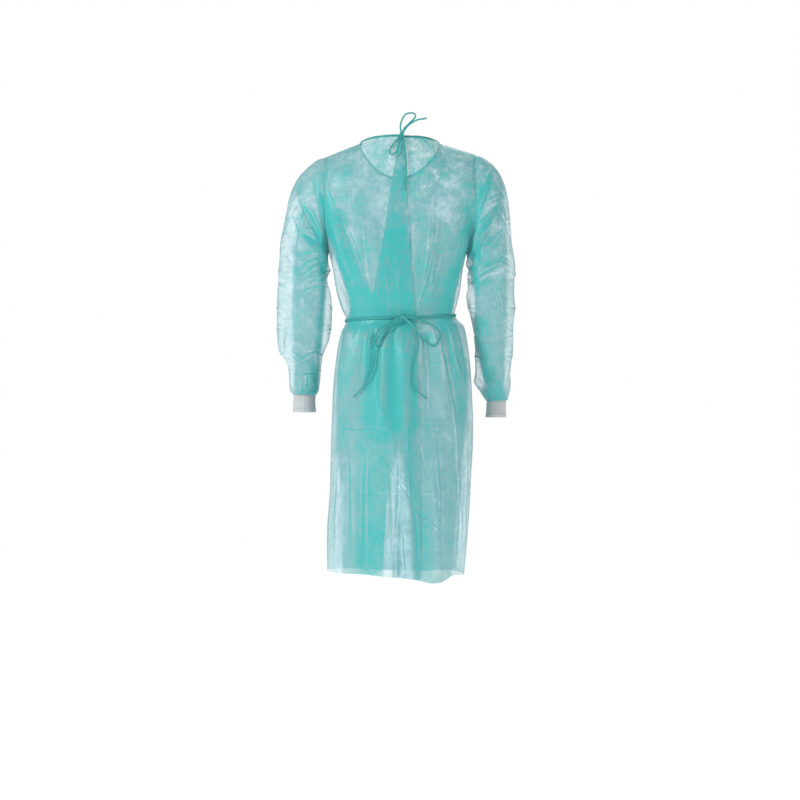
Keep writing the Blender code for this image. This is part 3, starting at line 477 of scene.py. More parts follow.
# Soft folds of the solids, from start to end; a negative height is a trough
softFolds = {
    "back": folds(
        (-0.184, -0.120, -0.104, -0.372, 0.0070, 0.016),
        (-0.140, -0.150, -0.112, -0.350, -0.0050, 0.016),
        (0.176, -0.215, 0.126, -0.385, 0.0060, 0.016),
        (0.128, -0.160, 0.086, -0.405, -0.0040, 0.016),
        (0.086, -0.138, 0.056, -0.404, 0.0040, 0.016),
        (-0.125, -0.330, -0.080, -0.424, 0.0050, 0.016),
        (-0.074, -0.440, -0.090, -0.640, 0.0070, 0.017),
        (-0.034, -0.440, -0.038, -0.720, 0.0060, 0.017),
        (0.016, -0.440, 0.022, -0.800, 0.0070, 0.017),
        (0.098, -0.440, 0.124, -0.680, 0.0070, 0.017),
        (0.134, -0.440, 0.168, -0.660, 0.0060, 0.017),
        (-0.112, -0.440, -0.146, -0.640, 0.0060, 0.017),
        (0.070, -0.445, 0.084, -0.620, -0.0060, 0.017),
        (-0.054, -0.445, -0.062, -0.640, -0.0050, 0.017),
        (-0.140, -0.760, -0.141, -1.100, 0.0080, 0.024),
        (-0.085, -0.700, -0.080, -1.100, -0.0080, 0.024),
        (-0.020, -0.820, -0.030, -1.100, 0.0080, 0.024),
        (0.090, -0.640, 0.095, -1.100, 0.0090, 0.026),
        (0.138, -0.720, 0.132, -1.100, -0.0080, 0.024),
    ),
    "front": folds(
        (-0.160, -0.150, -0.105, -0.380, 0.0060, 0.016),
        (0.165, -0.150, 0.108, -0.380, 0.0060, 0.016),
        (-0.060, -0.130, -0.048, -0.410, -0.0050, 0.016),
        (0.068, -0.150, 0.050, -0.410, -0.0050, 0.016),
        (-0.116, -0.440, -0.140, -0.700, 0.0080, 0.017),
        (-0.078, -0.440, -0.092, -0.640, -0.0060, 0.017),
        (-0.040, -0.440, -0.052, -0.760, 0.0080, 0.017),
        (0.004, -0.440, 0.000, -0.640, -0.0070, 0.017),
        (0.048, -0.440, 0.058, -0.780, 0.0080, 0.017),
        (0.090, -0.440, 0.108, -0.650, -0.0060, 0.017),
        (0.128, -0.440, 0.154, -0.700, 0.0080, 0.017),
        (-0.110, -0.740, -0.118, -1.100, 0.0100, 0.026),
        (-0.055, -0.700, -0.050, -1.100, -0.0080, 0.024),
        (0.006, -0.760, 0.012, -1.100, 0.0110, 0.028),
        (0.070, -0.700, 0.072, -1.100, -0.0080, 0.024),
        (0.124, -0.740, 0.128, -1.100, 0.0100, 0.026),
    ),
    "sleeve_left": folds(
        (-0.172, -0.262, -0.262, -0.128, -0.007, 0.020),
        (-0.178, -0.290, -0.292, -0.215, 0.006, 0.020),
        (-0.180, -0.330, -0.290, -0.300, -0.006, 0.020),
        (-0.200, -0.520, -0.300, -0.490, 0.006, 0.020),
    ),
    "sleeve_right": folds(
        (0.168, -0.262, 0.262, -0.105, 0.007, 0.020),
        (0.176, -0.280, 0.285, -0.200, -0.006, 0.020),
        (0.178, -0.330, 0.298, -0.300, 0.006, 0.020),
        (0.200, -0.590, 0.296, -0.520, -0.005, 0.020),
    ),
}

# The panels' folds below the waist are deeper than listed, by how high they start: at the
# waist tie or lower on the skirt
deepening = {"gathersBelow": -0.430, "gathers": 1.30, "skirtBelow": -0.600, "skirt": 1.15}


def deeper(rows):
    belowWaist = np.where(rows["z0"] < deepening["skirtBelow"], deepening["skirt"],
                          deepening["gathers"])
    factor = np.where(rows["z0"] < deepening["gathersBelow"], belowWaist, 1.0)
    return dict(rows, height=rows["height"] * factor)


# Finer creases that the cloth adds, as thin ridges and troughs. "bow" is how far a crease
# bends to the right at its middle when it runs down. The front, which the photograph doesn't
# show, has its own in millimetres.
fineCreases = {
    "back": seenCreases(
        "back",
        (343, 221, 366, 292, -1.5, 2.6, 11), (326, 190, 338, 214, -1.6, 2.6, 2),
        (338, 214, 369, 300, -1.2, 3, 0), (340, 262, 360, 312, -1.2, 3, -4),
        (436, 232, 412, 317, 1.7, 2.8, 8), (431, 204, 419, 308, 1.2, 2.6, 4),
        (446, 240, 424, 316, 1.0, 2.6, 4), (463, 240, 446, 312, 1.2, 3, 4),
        (459, 268, 450, 314, 1.2, 2.6, 2), (476, 196, 464, 236, -1.3, 3, -3),
        (392, 250, 396, 316, -0.9, 2.6, 0), (384, 262, 391, 316, 0.9, 2.6, 0),
        # under the waist tie
        (369, 322, 366, 356, -2.0, 3, 3), (385, 322, 389, 350, 1.6, 3, -2),
        (404, 324, 405, 424, -1.3, 2.4, 0), (396, 323, 393, 352, -1.4, 3, -2),
        (412, 323, 413, 345, 1.4, 3, 1), (421, 323, 425, 350, -1.5, 3, 2),
        (437, 322, 460, 424, -2.2, 3, -4), (431, 323, 446, 372, 1.8, 3, -3),
        (447, 322, 464, 392, 1.8, 3, -6), (455, 321, 468, 372, -1.6, 3, -5),
        (352, 323, 345, 352, 1.6, 3, 3), (360, 323, 351, 346, 1.5, 3, 4),
        (344, 323, 336, 372, -1.8, 3, 4), (376, 323, 374, 346, 1.3, 2.6, 2),
        (363, 330, 357, 382, -1.3, 3, 3),
        # long ones that run to the hem
        (406, 425, 408, 456, 2.0, 2.4, 0), (408, 466, 410, 502, 1.8, 2.4, -1),
        (398, 452, 394, 540, -1.0, 2.6, 3), (339, 352, 333, 420, 1.6, 3, 3),
        (341, 486, 344, 576, 1.6, 3, 0), (337, 470, 336, 574, -1.4, 3, -2),
        (333, 430, 331, 572, 1.4, 3, -1), (348, 440, 351, 570, -1.0, 4, 2),
        (388, 500, 385, 574, 1.2, 3, -2), (414, 508, 419, 578, -1.0, 3, 1),
        (466, 440, 462, 572, 1.5, 3, 3), (461, 470, 457, 572, -1.3, 3, 3),
        (470, 420, 467, 560, 1.2, 3, 2), (452, 400, 456, 470, 1.2, 4, 3),
        (436, 430, 440, 575, -0.9, 4, 4), (368, 440, 366, 572, 0.9, 5, -4),
        (396, 545, 395, 578, 1.0, 2.4, 0), (403, 530, 405, 580, -1.0, 2.4, 1),
    ),
    "front": creases(
        (-176, -140, -104, -370, 2.4, 4, -6), (-150, -200, -84, -405, -1.8, 4, -4),
        (-170, -250, -118, -395, 1.8, 4, -5), (-96, -150, -66, -390, 1.6, 4, -4),
        (174, -132, 112, -372, 2.2, 4, 6), (150, -220, 96, -404, -1.8, 4, 5),
        (170, -256, 128, -395, 2.0, 4, 5), (104, -140, 76, -396, 1.6, 4, 4),
        (-26, -160, -18, -405, 1.2, 4, -3), (34, -150, 24, -408, -1.4, 4, 3),
        (-128, -446, -150, -620, 2.2, 4, -4), (-96, -446, -112, -560, -2.0, 4, -3),
        (-62, -446, -74, -660, 2.4, 4, -3), (-20, -446, -24, -600, 2.0, 4, -2),
        (26, -446, 30, -640, 2.2, 4, 2), (68, -446, 80, -700, 2.4, 4, 3),
        (108, -446, 126, -590, -2.0, 4, 3), (146, -446, 174, -640, 2.2, 4, 5),
        (-140, -700, 150, -704, 1.3, 2.6, 4), (-120, -880, 140, -886, 1.1, 2.6, -4),
        (-90, -760, -96, -1050, 1.8, 4, -4), (-28, -800, -20, -1080, -1.8, 5, 4),
        (44, -760, 50, -1070, 1.8, 4, 3), (96, -820, 104, -1070, -1.6, 5, 4),
        (150, -760, 158, -1060, 1.8, 4, 4), (-150, -780, -156, -1060, 1.8, 4, -4),
        (2, -450, -60, -700, 1.2, 3, 6), (10, -560, 90, -860, 1.2, 3, -6),
    ),
    "sleeve_left": seenCreases(
        "sleeve_left",
        (297, 200, 327, 251, -2.2, 2.6, -3), (306, 204, 329, 249, 1.8, 3, 4),
        (315, 176, 330, 246, -1.8, 2.8, -7), (320, 184, 333, 240, 1.6, 3, 3),
        (302, 236, 328, 253, -2.2, 2.6, 5), (304, 231, 319, 240, 1.8, 2.6, 5),
        (301, 267, 327, 257, -2.4, 2.6, 4), (298, 260, 326, 254, 1.6, 3, 4),
        (300, 278, 325, 262, -1.8, 2.6, 4), (302, 272, 316, 264, 1.4, 2.6, 1),
        (308, 281, 327, 279, 1.7, 2.4, 3), (303, 291, 324, 287, -1.2, 2.6, 3),
        (292, 214, 300, 252, -1.4, 3, 4), (285, 216, 292, 262, 1.6, 3, 4),
        (281, 252, 290, 262, -1.8, 2.6, 1), (281, 262, 288, 292, 1.4, 3, 2),
        (280, 300, 288, 352, 1.2, 3, 3), (284, 330, 282, 356, -1.4, 3, -2),
        (300, 358, 319, 350, -2.2, 2.6, 4), (298, 362, 312, 357, 1.6, 3, 2),
        (288, 352, 300, 360, 1.8, 3, 2), (283, 356, 293, 364, -2.0, 3, 0),
        (296, 376, 317, 374, -1.8, 2.6, 4), (310, 376, 313, 392, 1.6, 2.6, 1),
        (298, 380, 300, 394, 1.4, 2.6, -1), (326, 262, 330, 283, 1.6, 2.4, 3),
        (331, 264, 327, 284, -1.6, 2.4, 1), (324, 300, 330, 344, 1.1, 2.8, 5),
        (307, 196, 300, 226, -1.0, 3, 0), (314, 160, 309, 190, 0.9, 4, -3),
        (293, 366, 290, 392, 1.3, 3, -2), (305, 366, 306, 392, -1.2, 3, 2),
        (314, 352, 316, 372, 1.3, 3, 0),
    ),
    "sleeve_right": seenCreases(
        "sleeve_right",
        (498, 205, 466, 250, -2.4, 2.6, -12), (491, 172, 466, 240, 1.8, 3, 5),
        (487, 196, 470, 232, -1.4, 2.8, -3), (506, 192, 486, 203, -1.9, 2.6, -2),
        (505, 199, 480, 221, 1.6, 3, -3), (494, 226, 480, 269, -1.9, 2.4, -14),
        (488, 230, 472, 250, 1.4, 2.8, -4), (503, 232, 490, 246, 1.1, 2.6, 2),
        (478, 246, 488, 245, -1.4, 2.4, 0), (466, 252, 477, 266, 2.0, 2.4, 3),
        (464, 265, 478, 272, -2.4, 2.4, 4), (466, 271, 476, 276, 2.2, 2.4, 3),
        (465, 283, 478, 278, -2.4, 2.4, -4), (478, 277, 503, 266, -2.2, 2.6, 4),
        (480, 274, 500, 263, 1.6, 3, 4), (479, 281, 497, 272, 1.5, 3, 3),
        (500, 257, 513, 264, -1.8, 2.6, 3), (502, 252, 513, 256, 1.4, 3, 3),
        (476, 280, 478, 296, -1.8, 2.4, 1), (497, 286, 504, 330, 1.0, 3, 4),
        (505, 312, 514, 316, -1.8, 2.6, 2), (503, 318, 513, 330, 1.3, 3, 1),
        (476, 318, 488, 372, -1.3, 3, -5), (482, 322, 494, 368, 1.2, 3, -4),
        (475, 360, 484, 382, 1.4, 2.6, 4), (478, 376, 486, 392, -1.8, 2.6, 2),
        (494, 380, 497, 397, 1.3, 3, 1), (501, 376, 503, 397, -1.2, 3, -1),
        (508, 370, 506, 396, 1.3, 3, -2), (490, 384, 492, 398, -1.2, 3, 1),
        (500, 200, 504, 240, 1.2, 3, 4), (484, 165, 490, 182, -1.0, 3, 2),
        (509, 278, 508, 312, 1.2, 3, 2),
    ),
}

# Creases on the outer and inner sides of the sleeves, which no other view gives: y and z
sideCreases = {
    "sleeve_left": creases(
        (-58, -120, 22, -262, 2.0, 3, -4), (62, -100, 8, -240, -1.8, 3, 5),
        (-60, -332, 58, -300, 2.4, 3, 7), (-48, -356, 74, -338, -2.2, 3, 5),
        (-40, -382, 66, -414, 1.8, 3, -6), (-30, -474, 84, -448, 1.8, 3, 5),
        (-22, -514, 82, -536, -2.0, 3, -5), (4, -556, 66, -574, 1.6, 3, 3),
        (-6, -70, 14, -190, 1.1, 3, 4), (34, -236, 24, -320, 1.2, 3, 4),
        (-44, -210, 70, -206, -1.2, 3, -5), (40, -600, 44, -540, 1.2, 3, 1),
    ),
    "sleeve_right": creases(
        (-56, -100, 30, -230, -2.0, 3, -5), (66, -126, 2, -268, 2.0, 3, 4),
        (-58, -300, 60, -322, 2.2, 3, -6), (-50, -344, 70, -330, -2.0, 3, 5),
        (-42, -420, 72, -396, 2.0, 3, 6), (-34, -452, 80, -480, -1.8, 3, -5),
        (-20, -540, 80, -520, 2.0, 3, 4), (0, -584, 64, -596, 1.6, 3, -3),
        (8, -56, -4, -170, 1.1, 3, -4), (20, -250, 30, -350, -1.2, 3, -3),
        (-40, -190, 66, -180, 1.3, 3, 5), (36, -618, 42, -560, 1.2, 3, 1),
    ),
}

# Thin marks that stay in the cloth from its packing
packingLines = {
    "back": seenCreases(
        "back",
        (343, 429, 379, 431, -0.6, 2.0, 1), (371, 363, 382, 363, -0.5, 1.8, 0),
        (424, 363, 446, 363, -0.5, 1.8, 0), (372, 452, 386, 462, -0.6, 2.0, 1),
        (386, 462, 397, 480, -0.6, 2.0, 1), (397, 480, 412, 503, -0.6, 2.0, 0),
        (409, 497, 431, 532, -0.6, 2.0, -2), (413, 508, 452, 541, -0.5, 1.8, 1),
        (434, 545, 453, 557, -0.5, 1.8, 0), (420, 431, 458, 433, -0.3, 1.6, 0),
        (394, 478, 410, 488, -0.3, 1.6, 0),
    ),
    "front": creases(
        (-120, -560, 90, -563, -0.4, 1.8, 2), (-140, -704, 140, -708, -0.5, 1.8, 2),
        (-96, -880, 120, -884, -0.4, 1.8, -2), (6, -460, 4, -1020, -0.5, 1.8, 3),
        (-30, -230, 40, -236, -0.3, 1.6, 1), (20, -560, 92, -700, -0.4, 1.8, 3),
        (-20, -720, -96, -870, -0.4, 1.8, -3),
    ),
}

sleeveRings = {
    "left": table(
        "outerX outerZ innerX innerZ depth middle",
        (-184, -18, -177, -263, 73, -5),
        (-207, -26, -178.5, -277, 75, -5),
        (-230, -43, -176.5, -294, 76, -4),
        (-257, -72, -173.5, -311, 76, -2),
        (-277, -118, -180, -330, 74, 0),
        (-290, -179, -174.5, -353, 72, 4),
        (-301, -238, -169, -384, 70, 8),
        (-307, -307, -168.5, -420, 68, 12),
        (-312, -384, -171.5, -456, 66, 17),
        (-312, -448, -176.5, -487, 64, 21),
        (-310, -494, -187, -510, 60, 25),
        (-304, -521, -193, -528, 55, 27),
        (-290, -538, -197, -546, 47, 29),
        (-282, -560, -200, -567, 42, 31),
        (-281.5, -589, -202, -594, 40, 34),
        (-279, -614, -205, -617, 38, 36),
        (-272, -626, -210, -627, 32.5, 37),
    ),
    "right": table(
        "outerX outerZ innerX innerZ depth middle",
        (195, -11, 174, -263, 73, -5),
        (220, -21, 177, -277, 75, -5),
        (241, -36, 173.5, -294, 76, -4),
        (259, -57, 181, -312, 76, -2),
        (273, -88, 176, -331, 74, 0),
        (282, -130, 178.5, -352, 72, 3),
        (288, -180, 174.5, -375, 70, 6),
        (293, -240, 179, -400, 68, 9),
        (302, -303, 186, -427, 66, 12),
        (299, -363, 192, -457, 65, 16),
        (302, -407, 196, -487, 63, 19),
        (297, -450, 198.5, -512, 60, 22),
        (297, -500, 198.5, -539, 56, 26),
        (292, -544, 198.5, -567, 51, 29),
        (289, -578, 196, -590, 46, 32),
        (289, -611, 211, -619, 40, 35),
        (282, -641, 226.5, -643, 29, 37),
    ),
}


def bySide(u, places, part):
    # x (part 0) or z (part 1) of the left place where u is negative, else of the right one
    return np.where(u < 0, places["left"][part], places["right"][part])


def topEdge(side, u):
    # Neckline as a quarter turn from the middle to the neck point, then a straight seam
    middleY, middleZ = neckMiddle[side]
    neckX, neckZ = (bySide(u, neckPoint, part) for part in (0, 1))
    tipX, tipZ = (bySide(u, shoulderTip, part) for part in (0, 1))
    turn = np.clip(abs(u) / shape["neckShare"], 0, 1) * math.pi / 2
    along = np.clip((abs(u) - shape["neckShare"]) / (1 - shape["neckShare"]), 0, 1)
    x = neckX * np.sin(turn) + (tipX - neckX) * along
    z = neckZ + (middleZ - neckZ) * np.cos(turn)**shape["neckCurve"] + (tipZ - neckZ) * along
    return x, middleY * np.cos(turn), z


def surface(side, u, level):
    # Cloth points for u from -1 at the left side to 1 at the right, and a level of 0 to 1
    # down the yoke, to 2 down the bodice, to 3 over the waist and to 4 down the skirt: a
    # squarish half ellipse at each height, rounded over to the shoulder seam at the top
    sign = -1 if side == "back" else 1
    topX, topY, topZ = topEdge(side, u)
    beltZ = follow(beltLine, "z", u, "u")
    hemZ = follow(hemLine[side], "z", u, "u")
    chestZ, beltHalf, fullness = shape["chestZ"], shape["beltHalf"], shape["fullness"]
    part = np.clip([level, level - 1, level - 2, level - 3], 0, 1)
    z = (topZ + (chestZ - topZ) * part[0] + (beltZ + beltHalf - chestZ) * part[1]
         - 2 * beltHalf * part[2] + (hemZ - beltZ + beltHalf) * part[3])
    at = z - (beltZ - shape["waistZ"]) * np.exp(-((z - beltZ) / shape["beltReach"])**2)

    edgeX = np.where(u < 0, follow(body, "left", at, "z"), follow(body, "right", at, "z"))
    middleY = follow(body, side, at, "z")
    turn = np.radians(follow(body, "turn", at, "z"))
    armholeTop = bySide(u, shoulderTip, 1)
    fall = (armholeTop - z) / (armholeTop - chestZ)
    drop = np.clip(fall, 0, 1)
    hollow = np.clip(1 - np.clip(2 * drop - 1, 0, 1)**2, 0, 1)**shape["edgeHollow"]
    depth = shape["armholeBack"] if side == "back" else shape["armholeFront"]
    soft = 1 - ease(*shape["edgeSoft"], fall)
    edgeY = sign * depth * (soft + (hollow * (drop < 1) - soft) * abs(u)**shape["edgeTurn"])
    if side == "front":
        edgeX = edgeX - np.sign(u) * shape["armholeCutIn"] * np.sin(math.pi * drop)**2
    angle = abs(u) * turn
    across = (np.sin(angle) / np.sin(turn))**fullness
    inwards = np.clip((np.cos(angle) - np.cos(turn)) / (1 - np.cos(turn)), 0, 1)**fullness
    sectionX = edgeX * across
    sectionY = edgeY + (middleY - edgeY) * inwards

    below = np.clip((topZ - z) / shape["shoulderRound"], 0, 1)
    neckShare = shape["neckShare"]
    power, byNeck, toTip, tip = shape["shoulderTurn"]
    sharp = (power - byNeck * ease(0.5, 1.0, abs(u) / neckShare)
             - toTip * ease(neckShare, tip, abs(u)))
    rounding = np.clip(1 - (1 - below)**2, 0, 1)**sharp
    x = topX + (sectionX - topX) * ease(0, 1, below)
    y = topY + (sectionY - topY) * rounding + sign * shape["seamGap"] / 2
    return np.stack([x, y, z], axis=-1)


def freeU(edge, z):
    # The u at which a section has the free edge's x: the section's formula turned round
    x = follow(edge, "x", z, "z")
    width = np.where(x < 0, -follow(body, "left", z, "z"), follow(body, "right", z, "z"))
    turn = np.radians(follow(body, "turn", z, "z"))
    share = (abs(x) / width)**(1 / shape["fullness"]) * np.sin(turn)
    return np.sign(x) * np.arcsin(np.clip(share, 0, 1)) / turn


def alongAcross(x, z, x0, z0, x1, z1):
    # How far along a line each point lies, from 0 to 1, and its distance across the line
    length = math.hypot(x1 - x0, z1 - z0)
    along = ((x - x0) * (x1 - x0) + (z - z0) * (z1 - z0)) / length**2
    return along, ((x - x0) * (z1 - z0) - (z - z0) * (x1 - x0)) / length


# Shares of a soft fold's line over which it comes and goes, and over which one that runs out
# at the hem comes
foldFades = {"in": (0.0, 0.25), "out": (0.6, 1.05), "toHem": (0.0, 0.7)}


def softHeight(rows, x, z):
    # Sum of the soft folds: a bell across each line, fading towards both of its ends
    total = np.zeros_like(x)
    for x0, z0, x1, z1, height, width in zip(*(rows[name] for name in rows)):
        along, across = alongAcross(x, z, x0, z0, x1, z1)
        fade = ease(*foldFades["in"], along) * (1 - ease(*foldFades["out"], along))
        if z1 < shape["atHem"]:
            fade = ease(*foldFades["toHem"], along)
        total += height * fade * np.exp(-(across / width)**2)
    return total


# How a crease fades in and out along its line, how far it wanders, the roundness of its tip
# and the widths at which it ends. Then its painted shade and light: the width of the core, and the
# depth, place and width of the line beside it; last how strong that painted line is, and how much by
# height.
creaseLook = {"fadeIn": (-0.02, 0.20), "fadeOut": (0.60, 1.04), "wander": 1.6 * mm,
              "tip": (0.35, 0.12), "ends": 7, "core": 0.55, "beside": (0.45, 1.5, 0.7),
              "creaseShade": 0.35, "creaseShadeByHeight": 300}


def creaseHeight(rows, x, z, wander):
    # Sum of the fine creases: the distance across each bowed line, wandering a little, goes
    # through exp(-d) with a small round tip, so that the crease is sharp but not a cut. A
    # ridge gets a thin line of painted light between two of painted shade, a trough the other way
    # round.
    total, creaseShade = np.zeros_like(x), np.zeros_like(x)
    for x0, z0, x1, z1, height, width, bow in zip(*(rows[name] * mm for name in rows)):
        along, across = alongAcross(x, z, x0, z0, x1, z1)
        bend = bow * np.sin(math.pi * np.clip(along, 0, 1)) + wander * creaseLook["wander"]
        away = abs(across + bend) / width
        fade = ease(*creaseLook["fadeIn"], along) * (1 - ease(*creaseLook["fadeOut"], along))
        raised, roundness = creaseLook["tip"]
        tip = np.exp(raised - np.sqrt(away**2 + roundness))
        total += height * fade * tip * (away < creaseLook["ends"])
        depth, place, spread = creaseLook["beside"]
        core = (np.exp(-(away / creaseLook["core"])**2)
                - depth * np.exp(-((away - place) / spread)**2))
        strength = min(1, creaseLook["creaseShade"] + abs(height) * creaseLook["creaseShadeByHeight"])
        creaseShade += -np.sign(height) * fade * core * strength
    return total, creaseShade


# Gathers at the waist: number round half the body, seed, how high each stands in
# millimetres, its width in u, and how far it reaches up and down
gathers = {"count": 17, "seeds": {"back": 4, "front": 9}, "height": (0.4, 1.8),
           "width": (0.010, 0.032), "up": (0.02, 0.08), "down": (0.04, 0.18),
           "uneven": 0.35,         # share of its room by which a gather's place varies
           "outermost": 0.95,      # u within which they all start
           "lean": 0.25,           # the most that one drifts in u for each metre from the tie
           "widen": 5,             # share by which one widens for each metre
           "above": 0.45,          # share of the height that stays above the tie
           "settle": 0.02}         # metres above the tie over which it falls to that share


def gatherHeight(side, u, rise):
    # Uneven pleats: bells across u that drift sideways and die away from the tie
    random = np.random.default_rng(gathers["seeds"][side])
    count = gathers["count"]
    uneven, outermost, above = (gathers[name] for name in ("uneven", "outermost", "above"))
    place = (np.arange(count) + random.uniform(-uneven, uneven, count)) / count
    place = place * 2 * outermost - outermost
    total = np.zeros_like(u)
    for k in range(count):
        height = random.uniform(*gathers["height"]) * mm * random.choice((1, 1, -1))
        width = random.uniform(*gathers["width"])
        up, down = random.uniform(*gathers["up"]), random.uniform(*gathers["down"])
        lean = random.uniform(-gathers["lean"], gathers["lean"])
        reach = np.where(rise > 0, up, down)
        spread = width * (1 + abs(rise) * gathers["widen"])
        bell = np.exp(-((u - place[k] - lean * abs(rise)) / spread)**2)
        total += height * bell * np.exp(-(rise / reach)**2)
    settled = above + (1 - above) * np.exp(-rise / gathers["settle"])
    return total * np.where(rise > 0, settled, 1)


# Crumples from large to small: cell size, seed and height, a negative one being a hollow
crumples = (((0.070, 0.070, 0.150), 11, 5.0), ((0.045, 0.045, 0.100), 12, -3.4),
            ((0.028, 0.028, 0.040), 13, 1.7), ((0.013, 0.013, 0.018), 14, -0.6))
crumpleFold = 0.30                 # how far from zero a cloud's slopes are at middle height
# Some patches are more crumpled than others: cell size, seed, the middle share, and more
crumplePatches = ((0.10, 0.10, 0.16), 15, 0.65, 0.6)


def crumple(points, amount):
    # Papery facets: the distance from zero of a cloud is sharp along the cloud's zero lines
    # and smooth between them
    height = sum((crumpleFold - abs(cloud(points, size, seed))) * rise
                 for size, seed, rise in crumples)
    size, seed, middle, more = crumplePatches
    return height * (middle + more * cloud(points, size, seed)) * amount * mm


def band(side, amount, softLeft, softRight, *rows):
    # How much denser (or thinner) the cloth is, partly standing for painted shade and light, how soft
    # its two edges are in millimetres, and the edges' picture places
    seen = table("down left right", *rows)
    left, leftZ = fromPicture(side, seen["left"], seen["down"])
    right, rightZ = fromPicture(side, seen["right"], seen["down"])
    return {"amount": amount, "soft": (softLeft, softRight),
            "left": left, "right": right, "z": (leftZ + rightZ) / 2}


# Pale strips that the back shows and the front repeats
paleStrips = {
    "leftOverWaist": ((258, 327, 335), (268, 328, 339), (285, 334, 345), (305, 342, 350),
                      (316, 346, 349.5)),
    "rightOverWaist": ((256, 464, 468), (285, 457, 463), (315, 452, 457)),
    "leftOfSkirt": ((322, 338, 345), (345, 332, 341), (400, 328, 337), (440, 326, 336),
                    (480, 326, 341), (490, 326, 345), (578, 326, 345)),
    "rightOfSkirt": ((318, 456, 461), (340, 461, 467), (370, 466, 473), (400, 467, 475),
                     (440, 464, 474), (575, 455, 470)),
    "middleOfSkirt": ((450, 397, 400), (490, 390, 408), (520, 387, 411), (580, 384, 415)),
}

